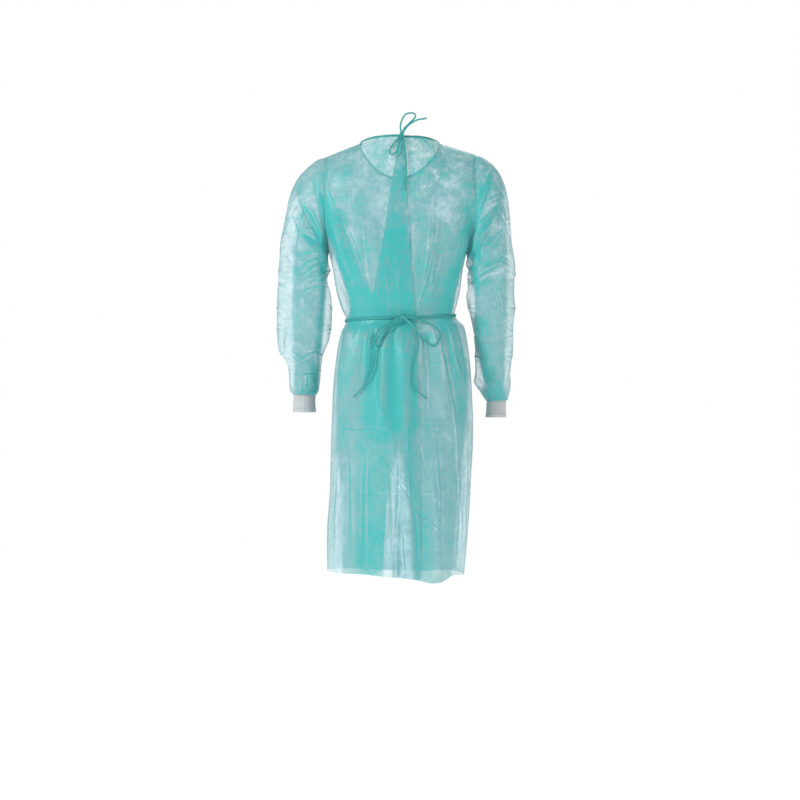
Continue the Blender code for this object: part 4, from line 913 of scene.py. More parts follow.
# Bands where the cloth is folded back on itself and so lets less through, or, below zero, is
# thin; the dense ones stand partly for painted shade, and two small pale ones on the right sleeve are
# painted glints: what band() takes after the side. Those of the front are made up to be like the
# back's.
seenBands = {
    "back": [
        (0.95, 5, 9, (190, 325, 327), (220, 325, 338), (250, 335, 347),
         (275, 342, 361), (305, 350, 379), (322, 348, 386)),
        (0.95, 11, 4, (198, 471, 474.5), (205, 467, 474.5), (225, 463, 472),
         (255, 455.5, 464), (285, 445, 456), (320, 436, 452)),
        (-1.1, 3, 3, *paleStrips["leftOverWaist"]),
        (-1.1, 3, 3, *paleStrips["rightOverWaist"]),
        (0.35, 14, 14, (292, 372, 440), (305, 366, 444), (325, 350, 452)),
        (0.55, 8, 8, (322, 372, 398), (350, 380, 399), (390, 387, 401),
         (430, 394, 403)),
        (0.35, 16, 10, (318, 352, 414), (350, 358, 414), (400, 362, 416),
         (440, 366, 410)),
        (0.30, 8, 4, (318, 398, 416), (400, 400, 417), (412, 400, 424),
         (425, 402, 420), (450, 404, 412)),
        (0.45, 6, 14, (450, 405, 412), (480, 408, 415), (520, 411, 425),
         (578, 414, 432)),
        (0.45, 14, 14, (330, 356, 376), (365, 366, 380), (430, 360, 392),
         (520, 354, 386), (576, 356, 384)),
        (-0.60, 7, 8, *paleStrips["middleOfSkirt"]),
        (0.50, 6, 8, (320, 437, 455), (350, 446, 463), (370, 450, 466),
         (400, 456, 468), (440, 460, 468)),
        (-0.65, 6, 6, *paleStrips["rightOfSkirt"]),
        (-0.65, 6, 6, *paleStrips["leftOfSkirt"]),
        (0.35, 5, 12, (322, 346, 362), (345, 342, 358), (400, 338, 348),
         (450, 337, 346)),
        (-0.30, 14, 14, (345, 420, 440), (370, 424, 446), (395, 420, 444),
         (420, 430, 446)),
        (0.30, 8, 8, (133, 366, 440), (150, 366, 440), (165, 372, 434),
         (176, 388, 420)),
        (-0.35, 20, 20, (170, 352, 380), (190, 362, 388), (240, 368, 378)),
        (-0.30, 20, 20, (180, 424, 462), (200, 426, 462), (225, 425, 452)),
    ],
    "front": [
        (0.80, 8, 12, (200, 326, 334), (240, 330, 350), (280, 343, 366),
         (318, 348, 392)),
        (0.80, 12, 8, (200, 462, 473), (240, 452, 470), (280, 438, 456),
         (318, 410, 452)),
        (0.40, 14, 14, (322, 360, 384), (380, 356, 378), (450, 358, 370)),
        (0.40, 14, 14, (322, 410, 436), (400, 418, 440), (480, 426, 446)),
        (0.35, 10, 10, (320, 438, 455), (360, 446, 464), (430, 458, 468)),
        (-1.0, 3, 3, *paleStrips["leftOverWaist"]),
        (-1.0, 3, 3, *paleStrips["rightOverWaist"]),
        (-0.35, 12, 12, *paleStrips["middleOfSkirt"]),
        (-0.55, 8, 8, *paleStrips["rightOfSkirt"]),
        (-0.55, 8, 8, *paleStrips["leftOfSkirt"]),
    ],
    "sleeve_left": [
        (0.85, 4, 5, (180, 315, 316.5), (200, 318, 326), (212, 321, 330),
         (252, 328, 334)),
        (0.85, 4, 5, (198, 296, 297.5), (215, 307, 314), (235, 314, 325),
         (256, 326, 334)),
        (0.70, 3, 4, (234, 300, 304), (246, 310, 324), (254, 319, 330)),
        (0.60, 6, 3, (254, 318, 328), (290, 320, 326), (350, 314, 321)),
        (-1.1, 3, 4, (190, 290, 296), (205, 284, 298), (220, 276, 296),
         (260, 272, 292), (340, 270, 291.5), (366, 280, 292.5), (392, 280, 293)),
        (-1.1, 3, 3, (257, 328, 336), (283, 325, 336), (300, 323.5, 337),
         (340, 321, 336), (351, 320, 330), (365, 318, 326), (392, 316.5, 322)),
        (0.60, 8, 4, (366, 310, 319), (380, 307, 318), (397, 296, 318)),
        (-0.9, 2, 2, (227, 328, 329.5), (243, 330.5, 332.5)),
    ],
    "sleeve_right": [
        (0.95, 4, 4, (171, 491, 492), (180, 487, 492.5), (200, 474, 486),
         (230, 466, 477), (250, 464, 469)),
        (0.85, 4, 4, (205, 496, 499), (222, 480, 491.5), (237, 469, 481),
         (255, 465, 480), (275, 472, 478.5), (292, 476, 479.5)),
        (-0.9, 5, 3, (185, 505, 510), (230, 508, 520), (300, 508, 520),
         (395, 505, 516)),
        (-1.1, 3, 3, (284, 462, 475.5), (316, 466, 476)),
        (-1.1, 3, 3, (354, 470, 478), (378, 470, 484.5), (387, 474, 487)),
        (0.55, 4, 14, (312, 475, 481), (335, 476, 485), (355, 480, 491),
         (392, 486, 505)),
        # two small pale patches by the armpit: painted glints
        (-1.2, 2, 2, (258, 468, 472), (264, 465, 473), (268, 467, 472)),
        (-1.2, 2, 2, (273, 468, 473), (277, 467, 474.5), (281, 469, 473)),
        (0.50, 4, 4, (390, 484, 508), (402, 484, 508)),
    ],
}
densityAndShadeBands = {side: [band(side, *rows) for rows in bands]
              for side, bands in seenBands.items()}


# Painted shade where the cloth turns away from its smooth form and in its troughs, and painted light
# along its ridges: their strengths and reach, with the bands' ends and the range of the sum
densityAndShadeLook = {"bandEnd": 8, "bandEndShare": 0.06,   # millimetres, and share of its height
               "turned": 2.0, "hollow": 0.50 * mm, "hollowRange": (-0.3, 0.4),
               "range": (-1.1, 1.2)}


def bandDensityAndShade(side, x, z, shown):
    # Sum of the bands: full between the edges, easing out across them and at both ends. The
    # thin ones fade by "shown" where the cloth turns away.
    total = np.zeros_like(x)
    for rows in densityAndShadeBands[side]:
        left, right = (follow(rows, name, z / mm, "z") for name in ("left", "right"))
        softLeft, softRight = rows["soft"]
        inside = (ease(-softLeft, softLeft, x / mm - left)
                  * ease(-softRight, softRight, right - x / mm))
        end = densityAndShadeLook["bandEnd"] + densityAndShadeLook["bandEndShare"] * np.ptp(rows["z"])
        ends = (ease(-end, end, rows["z"].max() - z / mm)
                * ease(-end, end, z / mm - rows["z"].min()))
        total += rows["amount"] * inside * ends
    return np.where(total < 0, total * shown, total)


def densityAndShadeOf(points, smooth, height, bands, around):
    # Painted shade where the cloth is turned away from the smooth form or lies in a trough, and
    # painted light along ridges, on top of the bands; the trough is how far a point lies below its
    # neighbours' mean
    normals = gridNormals(points, around)
    turned = 1 - np.clip(abs((normals * smooth).sum(axis=-1)), 0, 1)
    padded = np.pad(height, 2, mode="edge")
    if around:
        padded[2:-2, :2], padded[2:-2, -2:] = height[:, -2:], height[:, :2]
    mean = (padded[:-4, 2:-2] + padded[4:, 2:-2] + padded[2:-2, :-4] + padded[2:-2, 4:]) / 4
    hollow = np.clip((mean - height) / densityAndShadeLook["hollow"], *densityAndShadeLook["hollowRange"])
    return np.clip(bands + turned * densityAndShadeLook["turned"] + hollow, *densityAndShadeLook["range"])


def panelGrid(name):
    # u and level of a panel's points. The two back panels share the columns of their lap.
    yoke = (1 - np.cos(np.pi * np.arange(grid["yokeRows"] + 1) / grid["yokeRows"])) / 2
    lower = [start + np.arange(1, grid[part] + 1) / grid[part]
             for start, part in ((1, "bodiceRows"), (2, "waistRows"), (3, "skirtRows"))]
    level = np.concatenate([yoke, *lower])
    middleZ = surface("back", np.zeros_like(level), level)[:, 2]
    under = freeU(underEdge, middleZ)[:, None]
    upper = freeU(upperEdge, middleZ)[:, None]
    neckShare = shape["neckShare"]
    shoulder = np.linspace(0, 1, grid["shoulderColumns"] + 1)[None, :]
    left = -1 + (1 - neckShare) * shoulder[:, :-1] + 0 * under
    right = neckShare + (1 - neckShare) * shoulder[:, 1:] + 0 * under
    if name == "front":
        middle = np.linspace(-neckShare, neckShare, 2 * grid["neckColumns"] + 1)[None, :]
        columns = [left, middle + 0 * under, right]
    else:
        beside = np.linspace(0, 1, grid["neckColumns"])[None, :]
        lap = under + (upper - under) * np.linspace(0, 1, grid["lapColumns"] + 1)[None, :]
        if name == "back_left":
            columns = [left, -neckShare + (under + neckShare) * beside[:, :-1], lap]
        else:
            columns = [lap, upper + (neckShare - upper) * beside[:, 1:], right]
    u = np.concatenate(columns, axis=1)
    return np.broadcast_arrays(u, level[:, None])


# A panel: how crumpled it is, how strongly a crease or a packing line shows as a line of painted
# shade and light, the denser lap above and below, and how far the waist tie presses in. A fade is the
# two values between which something comes, in the measure that its comment gives.
panelLook = {"crumple": 0.40, "creaseShade": 0.6, "packedShade": 0.9, "lap": (0.30, 0.45),
             "pressed": 0.5 * mm, "pressedReach": 0.009,
             "wander": ((0.03, 0.03, 0.05), 21),       # cell size and seed
             # powers of u by which folds, creases and gathers end at the side seams
             "foldsEnd": 10, "creasesEnd": 12, "gathersEnd": 16,
             # fades by level: below the neckline, above and below the tie, below a seam
             "yokeFade": (0.05, 0.4), "aboveTie": (0.0, 0.25), "belowTie": (0.0, 0.06),
             "seamFade": (0.0, 0.06),
             # fades by u: towards the armhole, and of thin bands towards the side, with how much
             "armholeFade": (0.94, 1.0), "shown": (0.80, 0.97, 0.8),
             # the under panel beside the lap: the share it keeps, and a fade in metres
             "lapShare": 0.35, "lapFade": (-0.004, 0.02),
             # fades of the denser lap by how far below the origin it is
             "lapDeepens": (0.17, 0.26), "lapEnds": (0.40, 0.50)}
# A sleeve: its crumple, the strength of the painted shade and light along its creases, and the
# density at the cuff's turning, then the rest
sleeveLook = {"crumple": 0.55, "creaseShade": 0.75, "turning": 0.9,
              "pleats": 13, "pleatHeight": 0.5 * mm, "pleatWander": (2.0, 3),
              "wander": ((0.03, 0.03, 0.03), 22),
              "squareness": 0.94,                      # power of the rings' sine and cosine
              "joinRings": 3,                          # rings that ease out of the armhole
              # fades by share of the sleeve, from the armhole or from the cuff
              "foldsFade": (0.0, 0.2), "startFade": (0.0, 0.05), "cuffFade": (0.0, 0.10),
              "pleatsFade": (0.0, 0.04), "turningFade": (0.003, 0.012),
              # fades by sine or cosine round the sleeve; how much less a crease's painted shade and
              # light show beside it
              "sideFade": (0.25, 0.95), "sideLess": 0.8, "shown": (0.08, 0.55, 0.8)}


def panelPoints(name):
    # The smooth form, its soft folds as the solids have them, then gathers, fine creases
    # and crumples, which stay low at the seams and never rise under the waist tie
    side = "front" if name == "front" else "back"
    sign = 1 if side == "front" else -1
    u, level = panelGrid(name)
    points = surface(side, u, level)
    smooth = gridNormals(points) * sign
    x, z = points[..., 0], points[..., 2]
    rise = z - follow(beltLine, "z", u, "u")
    look = panelLook
    atEdges = (1 - abs(u)**look["foldsEnd"]) * ease(*look["yokeFade"], level)
    atBelt = 1 - ((1 - ease(*look["aboveTie"], 2 - level))
                  * (1 - ease(*look["belowTie"], level - 3)))
    height = softHeight(deeper(softFolds[side]), x, z) * atEdges * atBelt
    if name == "back_right":
        beside = x - follow(upperEdge, "x", z, "z")
        sunk = 1 - ease(shape["lapFlat"], shape["lapBlend"], beside)
        height = height - shape["lapInset"] * sunk
    wander = cloud(points, *look["wander"])
    atArmhole = (level < 1) * ease(*look["armholeFade"], abs(u))
    nearSeam = ease(*look["seamFade"], level) * (1 - atArmhole)
    fine, creaseShade = creaseHeight(fineCreases[side], x, z, wander)
    packed, packedShade = creaseHeight(packingLines[side], x, z, wander)
    fine = (fine + packed) * (1 - abs(u)**look["creasesEnd"])
    fine = fine + gatherHeight(side, u, rise) * (1 - abs(u)**look["gathersEnd"])
    fine = (fine + crumple(points, look["crumple"])) * nearSeam
    if name == "back_right":
        share = look["lapShare"]
        fine = fine * (share + (1 - share) * ease(*look["lapFade"], beside))
    underTie = 1 - np.exp(-(rise / look["pressedReach"])**2)
    fine = np.where(fine > 0, fine * underTie, fine) - look["pressed"] * (1 - underTie)
    height = height + fine - shape["halfWall"]
    points = points + smooth * height[..., None]
    # denser and thinner bands, the dense ones partly painted shade, then the painted shade and light
    # along the creases and packing lines
    low, high, less = look["shown"]
    bands = bandDensityAndShade(side, x, z, 1 - less * ease(low, high, abs(u)))
    bands = bands + look["creaseShade"] * creaseShade + look["packedShade"] * packedShade
    if side == "back":
        # the two layers of the lap lie flat on each other, so each looks denser there
        lapped = (x > follow(underEdge, "x", z, "z")) & (x < follow(upperEdge, "x", z, "z"))
        above, more = look["lap"]
        denser = above + more * ease(*look["lapDeepens"], -z)
        bands = bands + lapped * denser * (1 - ease(*look["lapEnds"], -z))
    normals = gridNormals(points) * sign
    normals[0] = smooth[0]
    return points, densityAndShadeOf(points, smooth, height, bands, False), normals


def sleevePoints(side, panels):
    # Rings from the armhole to the wrist: each an ellipse tilted from its outer to its inner
    # point. The first is the panels' own edge, and what it differs by fades over three rows.
    look = sleeveLook
    name = "sleeve_" + side
    sign, column = (-1, 0) if side == "left" else (1, -1)
    rows = grid["yokeRows"]
    behind = panels["back_" + side][0][:, column]
    before = panels["front"][0][:, column]
    armhole = np.concatenate([behind[:rows + 1], before[1:rows][::-1]])

    rings = sleeveRings[side]
    rings = dict(rings, step=np.arange(len(rings["depth"])))
    at = np.linspace(0, len(rings["depth"]) - 1, grid["sleeveRings"])
    values = {label: follow(rings, label, at, "step")[:, None] * mm
              for label in rings if label != "step"}
    angle = (np.arange(2 * rows) * np.pi / rows)[None, :]
    down = (1 - signedPower(np.cos(angle), look["squareness"])) / 2
    x = values["outerX"] + (values["innerX"] - values["outerX"]) * down
    z = values["outerZ"] + (values["innerZ"] - values["outerZ"]) * down
    y = values["middle"] - values["depth"] * signedPower(np.sin(angle), look["squareness"])
    points = np.stack(np.broadcast_arrays(x, y, z), axis=-1)
    fade = np.clip(1 - at / look["joinRings"], 0, 1)[:, None, None]
    points = points + (armhole - points[0])[None] * fade
    smooth = gridNormals(points, True) * sign
    downSleeve = np.linspace(0, 1, grid["sleeveRings"])[:, None]
    x, z = points[..., 0], points[..., 2]
    wander = cloud(points, *look["wander"])
    height = softHeight(softFolds[name], x, z) * ease(*look["foldsFade"], downSleeve)
    fine, creaseShade = creaseHeight(fineCreases[name], x, z, wander)
    onSide, sideShade = creaseHeight(sideCreases[name], points[..., 1], z, wander)
    beside = ease(*look["sideFade"], abs(np.cos(angle)))
    height = (height + fine) * abs(np.sin(angle)) + onSide * beside
    # painted shade and light along the creases, less on the sleeve's sides, where the side creases'
    # own takes over
    creaseShade = creaseShade * (1 - look["sideLess"] * beside) + sideShade * beside
    height = (height + crumple(points, look["crumple"])) * ease(*look["startFade"], downSleeve)
    height = height * ease(*look["cuffFade"], 1 - downSleeve) - shape["halfWall"]
    # small gathers where the sleeve is drawn in to the cuff
    swing, times = look["pleatWander"]
    pleats = np.sin(angle * look["pleats"] + swing * np.sin(angle * times))
    pleats = pleats * look["pleatHeight"]
    height = height + pleats * (1 - ease(*look["pleatsFade"], 1 - downSleeve))
    points = points + smooth * height[..., None]
    # bands of denser cloth that are partly painted shade, the creases' painted shade and light, and
    # the denser turning at the cuff
    low, high, less = look["shown"]
    bands = bandDensityAndShade(name, x, z, 1 - less + less * ease(low, high, abs(np.sin(angle))))
    # the turning at the cuff
    bands = (bands + look["creaseShade"] * creaseShade
             + look["turning"] * (1 - ease(*look["turningFade"], 1 - downSleeve)))
    # painted shade where the sleeve turns away and in its troughs, painted light on its ridges
    densityAndShade = densityAndShadeOf(points, smooth, height, bands, True)
    return points, densityAndShade, gridNormals(points, True) * sign


def gridFaces(rows, columns, around):
    # The quads of a grid of points, as an array of four corners each
    index = np.arange(rows * columns).reshape(rows, columns)
    right = np.roll(index, -1, axis=1) if around else index[:, 1:]
    left = index if around else index[:, :-1]
    return np.stack([left[:-1], left[1:], right[1:], right[:-1]], axis=-1).reshape(-1, 4)


def makeMesh(name, points, faces, material, attributes=None):
    # A smooth mesh from arrays, with a number for each point under each attribute's name
    mesh = bpy.data.meshes.new(name)
    vertices = np.asarray(points, np.float32).reshape(-1, 3)
    faces = np.asarray(faces, np.int32)
    mesh.vertices.add(len(vertices))
    mesh.vertices.foreach_set("co", vertices.ravel())
    mesh.loops.add(faces.size)
    mesh.loops.foreach_set("vertex_index", faces.ravel())
    mesh.polygons.add(len(faces))
    mesh.polygons.foreach_set("loop_start", np.arange(len(faces), dtype=np.int32) * faces.shape[1])
    mesh.update(calc_edges=True)
    for label, values in (attributes or {}).items():
        layer = mesh.attributes.new(label, "FLOAT", "POINT")
        layer.data.foreach_set("value", np.asarray(values, np.float32).ravel())
    mesh.materials.append(material)
    mesh.shade_smooth()
    mesh.validate()
    piece = bpy.data.objects.new(name, mesh)
    bpy.context.scene.collection.objects.link(piece)
    return piece


def clothPiece(name, points, densityAndShade, around, flip, material):
    faces = gridFaces(*points.shape[:2], around)
    if flip:
        faces = faces[:, ::-1]
    # the cloth's density, with its painted shade and light, goes to the shader under this attribute
    piece = makeMesh(name + "_cloth", points, faces, material, {"density_and_shade": densityAndShade})
    fit(piece, name)
    return piece


def weldSeams(panels):
    # The panels' points along the shoulder and side seams meet halfway
    rows, columns = grid["yokeRows"], grid["shoulderColumns"] + 1
    front = panels["front"][0]
    for name, edge, shoulder in (("back_left", 0, slice(0, columns)),
                                 ("back_right", -1, slice(-columns, None))):
        back = panels[name][0]
        front[rows:, edge] = back[rows:, edge] = (front[rows:, edge] + back[rows:, edge]) / 2
        front[0, shoulder] = back[0, shoulder] = (front[0, shoulder] + back[0, shoulder]) / 2


def makeCloth():
    material = clothFinish()
    pieces, panels, densitiesAndShade = {}, {}, {}
    for name in ("front", "back_left", "back_right"):
        points, densitiesAndShade[name], normals = panelPoints(name)
        panels[name] = (points, normals)
    weldSeams(panels)
    for name, densityAndShade in densitiesAndShade.items():
        pieces[name] = clothPiece(name, panels[name][0], densityAndShade, False, name != "front", material)
    for side in ("left", "right"):
        points, densityAndShade, normals = sleevePoints(side, panels)
        name = "sleeve_" + side
        panels[name] = (points, normals)
        pieces[name] = clothPiece(name, points, densityAndShade, True, side == "left", material)
    return panels


# ---- strips of folded cloth: binding, waist tie, seams and loose ties
strip = {"corners": 14, "across": 0.6, "out": 0.8,     # powers of the section
         "waves": 4, "turn": (0.15, 0.9),              # radians at each point of the path
         "swell": 0.14, "dentWidth": 0.16, "dent": 0.22}


def lensSection(count):
    # Round-cornered flat section, a superellipse: across and out for each corner
    angle = np.arange(count) * 2 * np.pi / count
    return (signedPower(np.cos(angle), strip["across"]) / 2,
            signedPower(np.sin(angle), strip["out"]) / 2)


def stripMesh(name, path, broad, facing, width, thick, closed, material, crinkle, seed):
    # A flat strip: its section is carried along the path with its width along "broad" and
    # its thickness along "facing". Small waves run along it, and its ends are closed.
    count = strip["corners"]
    across, out = lensSection(count)
    stations = len(path)
    random = np.random.default_rng(seed)
    at = np.arange(stations)
    wave = sum(np.sin(at * random.uniform(*strip["turn"]) + random.uniform(0, 6.28))
               for _ in range(strip["waves"])) / strip["waves"]
    grow = 1 + wave * strip["swell"]
    middle = path + facing * (wave * crinkle)[:, None]
    points = (middle[:, None] + broad[:, None] * (across[None, :, None] * width * grow[:, None, None])
              + facing[:, None] * (out[None, :, None] * thick))
    # a shallow fold line along the middle of the broad faces
    dent = np.exp(-(across / strip["dentWidth"])**2) * np.sign(out) * strip["dent"] * thick
    points = points - facing[:, None] * dent[None, :, None]
    index = np.arange(stations * count).reshape(stations, count)
    after = np.roll(index, -1, axis=0) if closed else index[1:]
    here = index if closed else index[:-1]
    faces = np.stack([here, np.roll(here, -1, axis=1), np.roll(after, -1, axis=1), after],
                     axis=-1).reshape(-1, 4)
    if not closed:
        # each end is closed by quads across the section, from one side to the other
        half = np.arange(count // 2 - 1)
        low = np.stack([half, half + 1, count - 2 - half, count - 1 - half], axis=-1)
        faces = np.concatenate([faces, index[0][low][:, ::-1], index[-1][low]])
    piece = makeMesh(name, points, faces, material)
    tidyNormals(piece.data)
    return piece, middle


def tidyNormals(mesh):
    # Points in one place become one, and the faces point out
    shell = bmesh.new()
    shell.from_mesh(mesh)
    bmesh.ops.remove_doubles(shell, verts=shell.verts, dist=1e-6)
    bmesh.ops.recalc_face_normals(shell, faces=shell.faces)
    shell.to_mesh(mesh)
    shell.free()


def smoothRoute(points, count):
    # Evenly spaced points on the Catmull-Rom curve through the given ones
    ends = 2 * points[:1] - points[1:2], 2 * points[-1:] - points[-2:-1]
    padded = np.concatenate([ends[0], points, ends[1]])
    t = np.linspace(0, 1, 12, endpoint=False)[None, :, None]
    a, b, c, d = (padded[k:len(padded) - 3 + k][:, None] for k in range(4))
    fine = 0.5 * (2 * b + (c - a) * t + (2 * a - 5 * b + 4 * c - d) * t**2
                  + (3 * b - a - 3 * c + d) * t**3)
    fine = np.concatenate([fine.reshape(-1, 3), points[-1:]])
    reach = np.concatenate([[0], np.cumsum(np.linalg.norm(np.diff(fine, axis=0), axis=1))])
    at = np.linspace(0, reach[-1], count)
    return np.stack([np.interp(at, reach, fine[:, k]) for k in range(3)], axis=1)


ties = {"width": 4.3 * mm, "thick": 1.2 * mm, "points": 72, "reach": 3.0 * mm,
        "neckY": -0.080, "crinkle": 0.25 * mm,
        "easing": 6,               # points on each side over which the depth is evened out
        "inKnot": 0.25}            # share of the way from the knot's middle where it starts
# x, z and how far the strip's middle stands out behind the cloth, as its solid does
tieRoutes = {
    "neck_loop_up": (
        (0.0068, 0.0400, 0.0), (0.0060, 0.0560, 0.001), (0.0105, 0.0740, 0.003),
        (0.0185, 0.0890, 0.005), (0.0310, 0.0940, 0.006), (0.0420, 0.0905, 0.006),
        (0.0435, 0.0820, 0.005), (0.0370, 0.0720, 0.004), (0.0265, 0.0600, 0.003),
        (0.0175, 0.0490, 0.0025), (0.0125, 0.0400, 0.0025)),
    "neck_end_up": (
        (0.0150, 0.0385, 0.0052), (0.0240, 0.0540, 0.0060),
        (0.0370, 0.0665, 0.0070), (0.0500, 0.0745, 0.0075), (0.0600, 0.0765, 0.0080),
        (0.0720, 0.0795, 0.0080)),
    "neck_loop_down": (
        (0.0062, 0.0235, 0.0040), (-0.0060, 0.0130, 0.0040),
        (-0.0160, 0.0010, 0.0045), (-0.0205, -0.0110, 0.0050), (-0.0150, -0.0165, 0.0065),
        (-0.0055, -0.0120, 0.0080), (0.0005, 0.0010, 0.0085), (0.0040, 0.0120, 0.0080),
        (0.0085, 0.0225, 0.0070)),
    "neck_end_down": (
        (0.0135, 0.0240, 0.0045), (0.0155, 0.0080, 0.0045),
        (0.0180, -0.0180, 0.0045), (0.0205, -0.0500, 0.0045), (0.0200, -0.0800, 0.0045),
        (0.0170, -0.1060, 0.0045)),
    "waist_loop_left": (
        (0.0045, -0.4345, 0.0090), (-0.0060, -0.4380, 0.0090),
        (-0.0250, -0.4490, 0.0080), (-0.0390, -0.4590, 0.0070), (-0.0505, -0.4720, 0.0060),
        (-0.0625, -0.4900, 0.0070), (-0.0590, -0.5010, 0.0080), (-0.0480, -0.4990, 0.0095),
        (-0.0400, -0.4830, 0.0090), (-0.0290, -0.4660, 0.0090), (-0.0120, -0.4500, 0.0090),
        (0.0062, -0.4410, 0.0070)),
    "waist_loop_right": (
        (0.0235, -0.4330, 0.0090), (0.0420, -0.4350, 0.0080),
        (0.0650, -0.4425, 0.0070), (0.0880, -0.4540, 0.0065), (0.1020, -0.4680, 0.0060),
        (0.1050, -0.4830, 0.0060), (0.0980, -0.4980, 0.0060), (0.0860, -0.5020, 0.0060),
        (0.0710, -0.4950, 0.0100), (0.0560, -0.4820, 0.0135), (0.0400, -0.4580, 0.0120),
        (0.0240, -0.4400, 0.0105)),
    "waist_end_left": (
        (0.0085, -0.4415, 0.0040), (-0.0150, -0.4560, 0.0040),
        (-0.0380, -0.4840, 0.0040), (-0.0530, -0.5140, 0.0040), (-0.0580, -0.5350, 0.0040),
        (-0.0600, -0.5560, 0.0040), (-0.0710, -0.5780, 0.0040), (-0.0820, -0.6000, 0.0040),
        (-0.0950, -0.6170, 0.0040), (-0.1120, -0.6330, 0.0040)),
    "waist_end_right": (
        (0.0195, -0.4410, 0.0040), (0.0330, -0.4540, 0.0040),
        (0.0440, -0.4700, 0.0045), (0.0500, -0.4900, 0.0050), (0.0490, -0.5180, 0.0055),
        (0.0430, -0.5400, 0.0055), (0.0390, -0.5600, 0.0055), (0.0375, -0.5850, 0.0055),
        (0.0400, -0.6050, 0.0055), (0.0520, -0.6210, 0.0060), (0.0690, -0.6360, 0.0065)),
}

# The camera stands lower than the neck, so what is nearer to it looks higher there. The neck
# routes are as seen; their heights are drawn in above the knot and let out below it: the
# level that stays, and the factor.
neckStretch = {"neck_loop_up": (0.0315, 0.815), "neck_end_up": (0.0315, 0.78),
               "neck_loop_down": (0.0235, 1.20), "neck_end_down": (0.0240, 1.07)}


def stretched(route, level, factor):
    # A route whose heights are drawn in, or let out, about a level by a factor
    return dict(route, z=level + (route["z"] - level) * factor)


def backDepths(x, z):
    # Depth of the outermost solid of the back under a strip, looking forwards at its middle
    # and at the edges of its width
    meshes = [nodes[name].data for name in ("back_left", "back_right", "neck_binding", "waist_belt")]
    trees = [BVHTree.FromPolygons([v.co for v in mesh.vertices],
                                  [tuple(face.vertices) for face in mesh.polygons])
             for mesh in meshes]
    reach = ties["reach"]
    depths = []
    for px, pz in zip(x, z):
        hits = [tree.ray_cast((px + dx, -1, pz + dz), (0, 1, 0))[0] for tree in trees
                for dx in (-reach, 0, reach) for dz in (-reach, 0, reach)]
        found = [hit.y for hit in hits if hit]
        depths.append(min(found) if found else ties["neckY"])
    return np.array(depths)


def makeTies(material):
    for count, (name, places) in enumerate(tieRoutes.items()):
        route = table("x z out", *places)
        if name in neckStretch:
            route = stretched(route, *neckStretch[name])
        flat = smoothRoute(np.stack([route["x"], route["out"], route["z"]], axis=1),
                           ties["points"])
        depth = backDepths(flat[:, 0], flat[:, 2])
        path = flat.copy()
        path[:, 1] = np.minimum(depth, runningMean(depth, ties["easing"])) - flat[:, 1]
        middle, _ = boxOf(name.split("_")[0] + "_knot")
        # the strip starts inside its knot, and a loop comes back into it
        joined = [middle + (path[0] - middle) * ties["inKnot"], *path[2::3]]
        if "loop" in name:
            joined = joined[:-1] + [middle + (path[-1] - middle) * ties["inKnot"]]
        path = smoothRoute(np.array(joined), ties["points"])
        along = unit(np.gradient(path, axis=0))
        broad = unit(np.cross(along, np.array([0.0, -1.0, 0.0])))
        facing = unit(np.cross(broad, along))
        piece, core = stripMesh(name + "_strip", path, broad, facing, ties["width"],
                                ties["thick"], False, material, ties["crinkle"], 30 + count)
        fit(piece, name)


bindingSizes = {"width": 7.0 * mm, "thick": 2.2 * mm, "sunk": 0.2 * mm, "up": 2.8 * mm,
                "crinkle": 0.15 * mm,
                "easing": 6,                       # points over which its turn is evened out
                "stand": 0.45,                     # how far it tips up from the cloth
                "ends": (0.0065, 0.0135)}          # x of its two ends, beside the knot


def makeBinding(panels, material):
    # A folded strip round the neckline: the panels' own edge points, from one side of the
    # knot round the front to the other, carried up by half its width
    count = grid["shoulderColumns"]
    parts = [[panels["back_right"][k][0, :-count] for k in (0, 1)],
             [panels["front"][k][0, count:-count][::-1] for k in (0, 1)],
             [panels["back_left"][k][0, count:] for k in (0, 1)]]
    low, high = bindingSizes["ends"]
    under, over = parts[0][0][:, 0] > high, parts[2][0][:, 0] < low
    rim, facing = (np.concatenate([parts[0][k][under][:-1], parts[1][k], parts[2][k][over][1:]])
                   for k in (0, 1))
    along = unit(np.gradient(rim, axis=0))
    facing = squareTo(runningMean(facing, bindingSizes["easing"]), along)
    away = unit(np.cross(facing, along))
    away *= np.sign((away[:, 2] - away[:, 0] * np.sign(rim[:, 0])).sum())
    away = unit(away + np.array([0, 0, bindingSizes["stand"]]))
    facing = unit(np.cross(along, away) * np.sign((np.cross(along, away) * facing).sum()))
    path = rim + away * bindingSizes["up"] - facing * bindingSizes["sunk"]
    piece, _ = stripMesh("neck_binding_strip", path, away, facing, bindingSizes["width"],
                         bindingSizes["thick"], False, material, bindingSizes["crinkle"], 50)
    fit(piece, "neck_binding")


waistTie = {"width": 6.0 * mm, "thick": 1.6 * mm, "standsOff": 1.25 * mm,
            "crinkle": 0.25 * mm, "points": 221, "easing": 3,
            "levels": (2.3, 2.7),              # the two levels of the form it lies between
            "lapStart": 0.008}                 # how far from the lap's edge it goes in


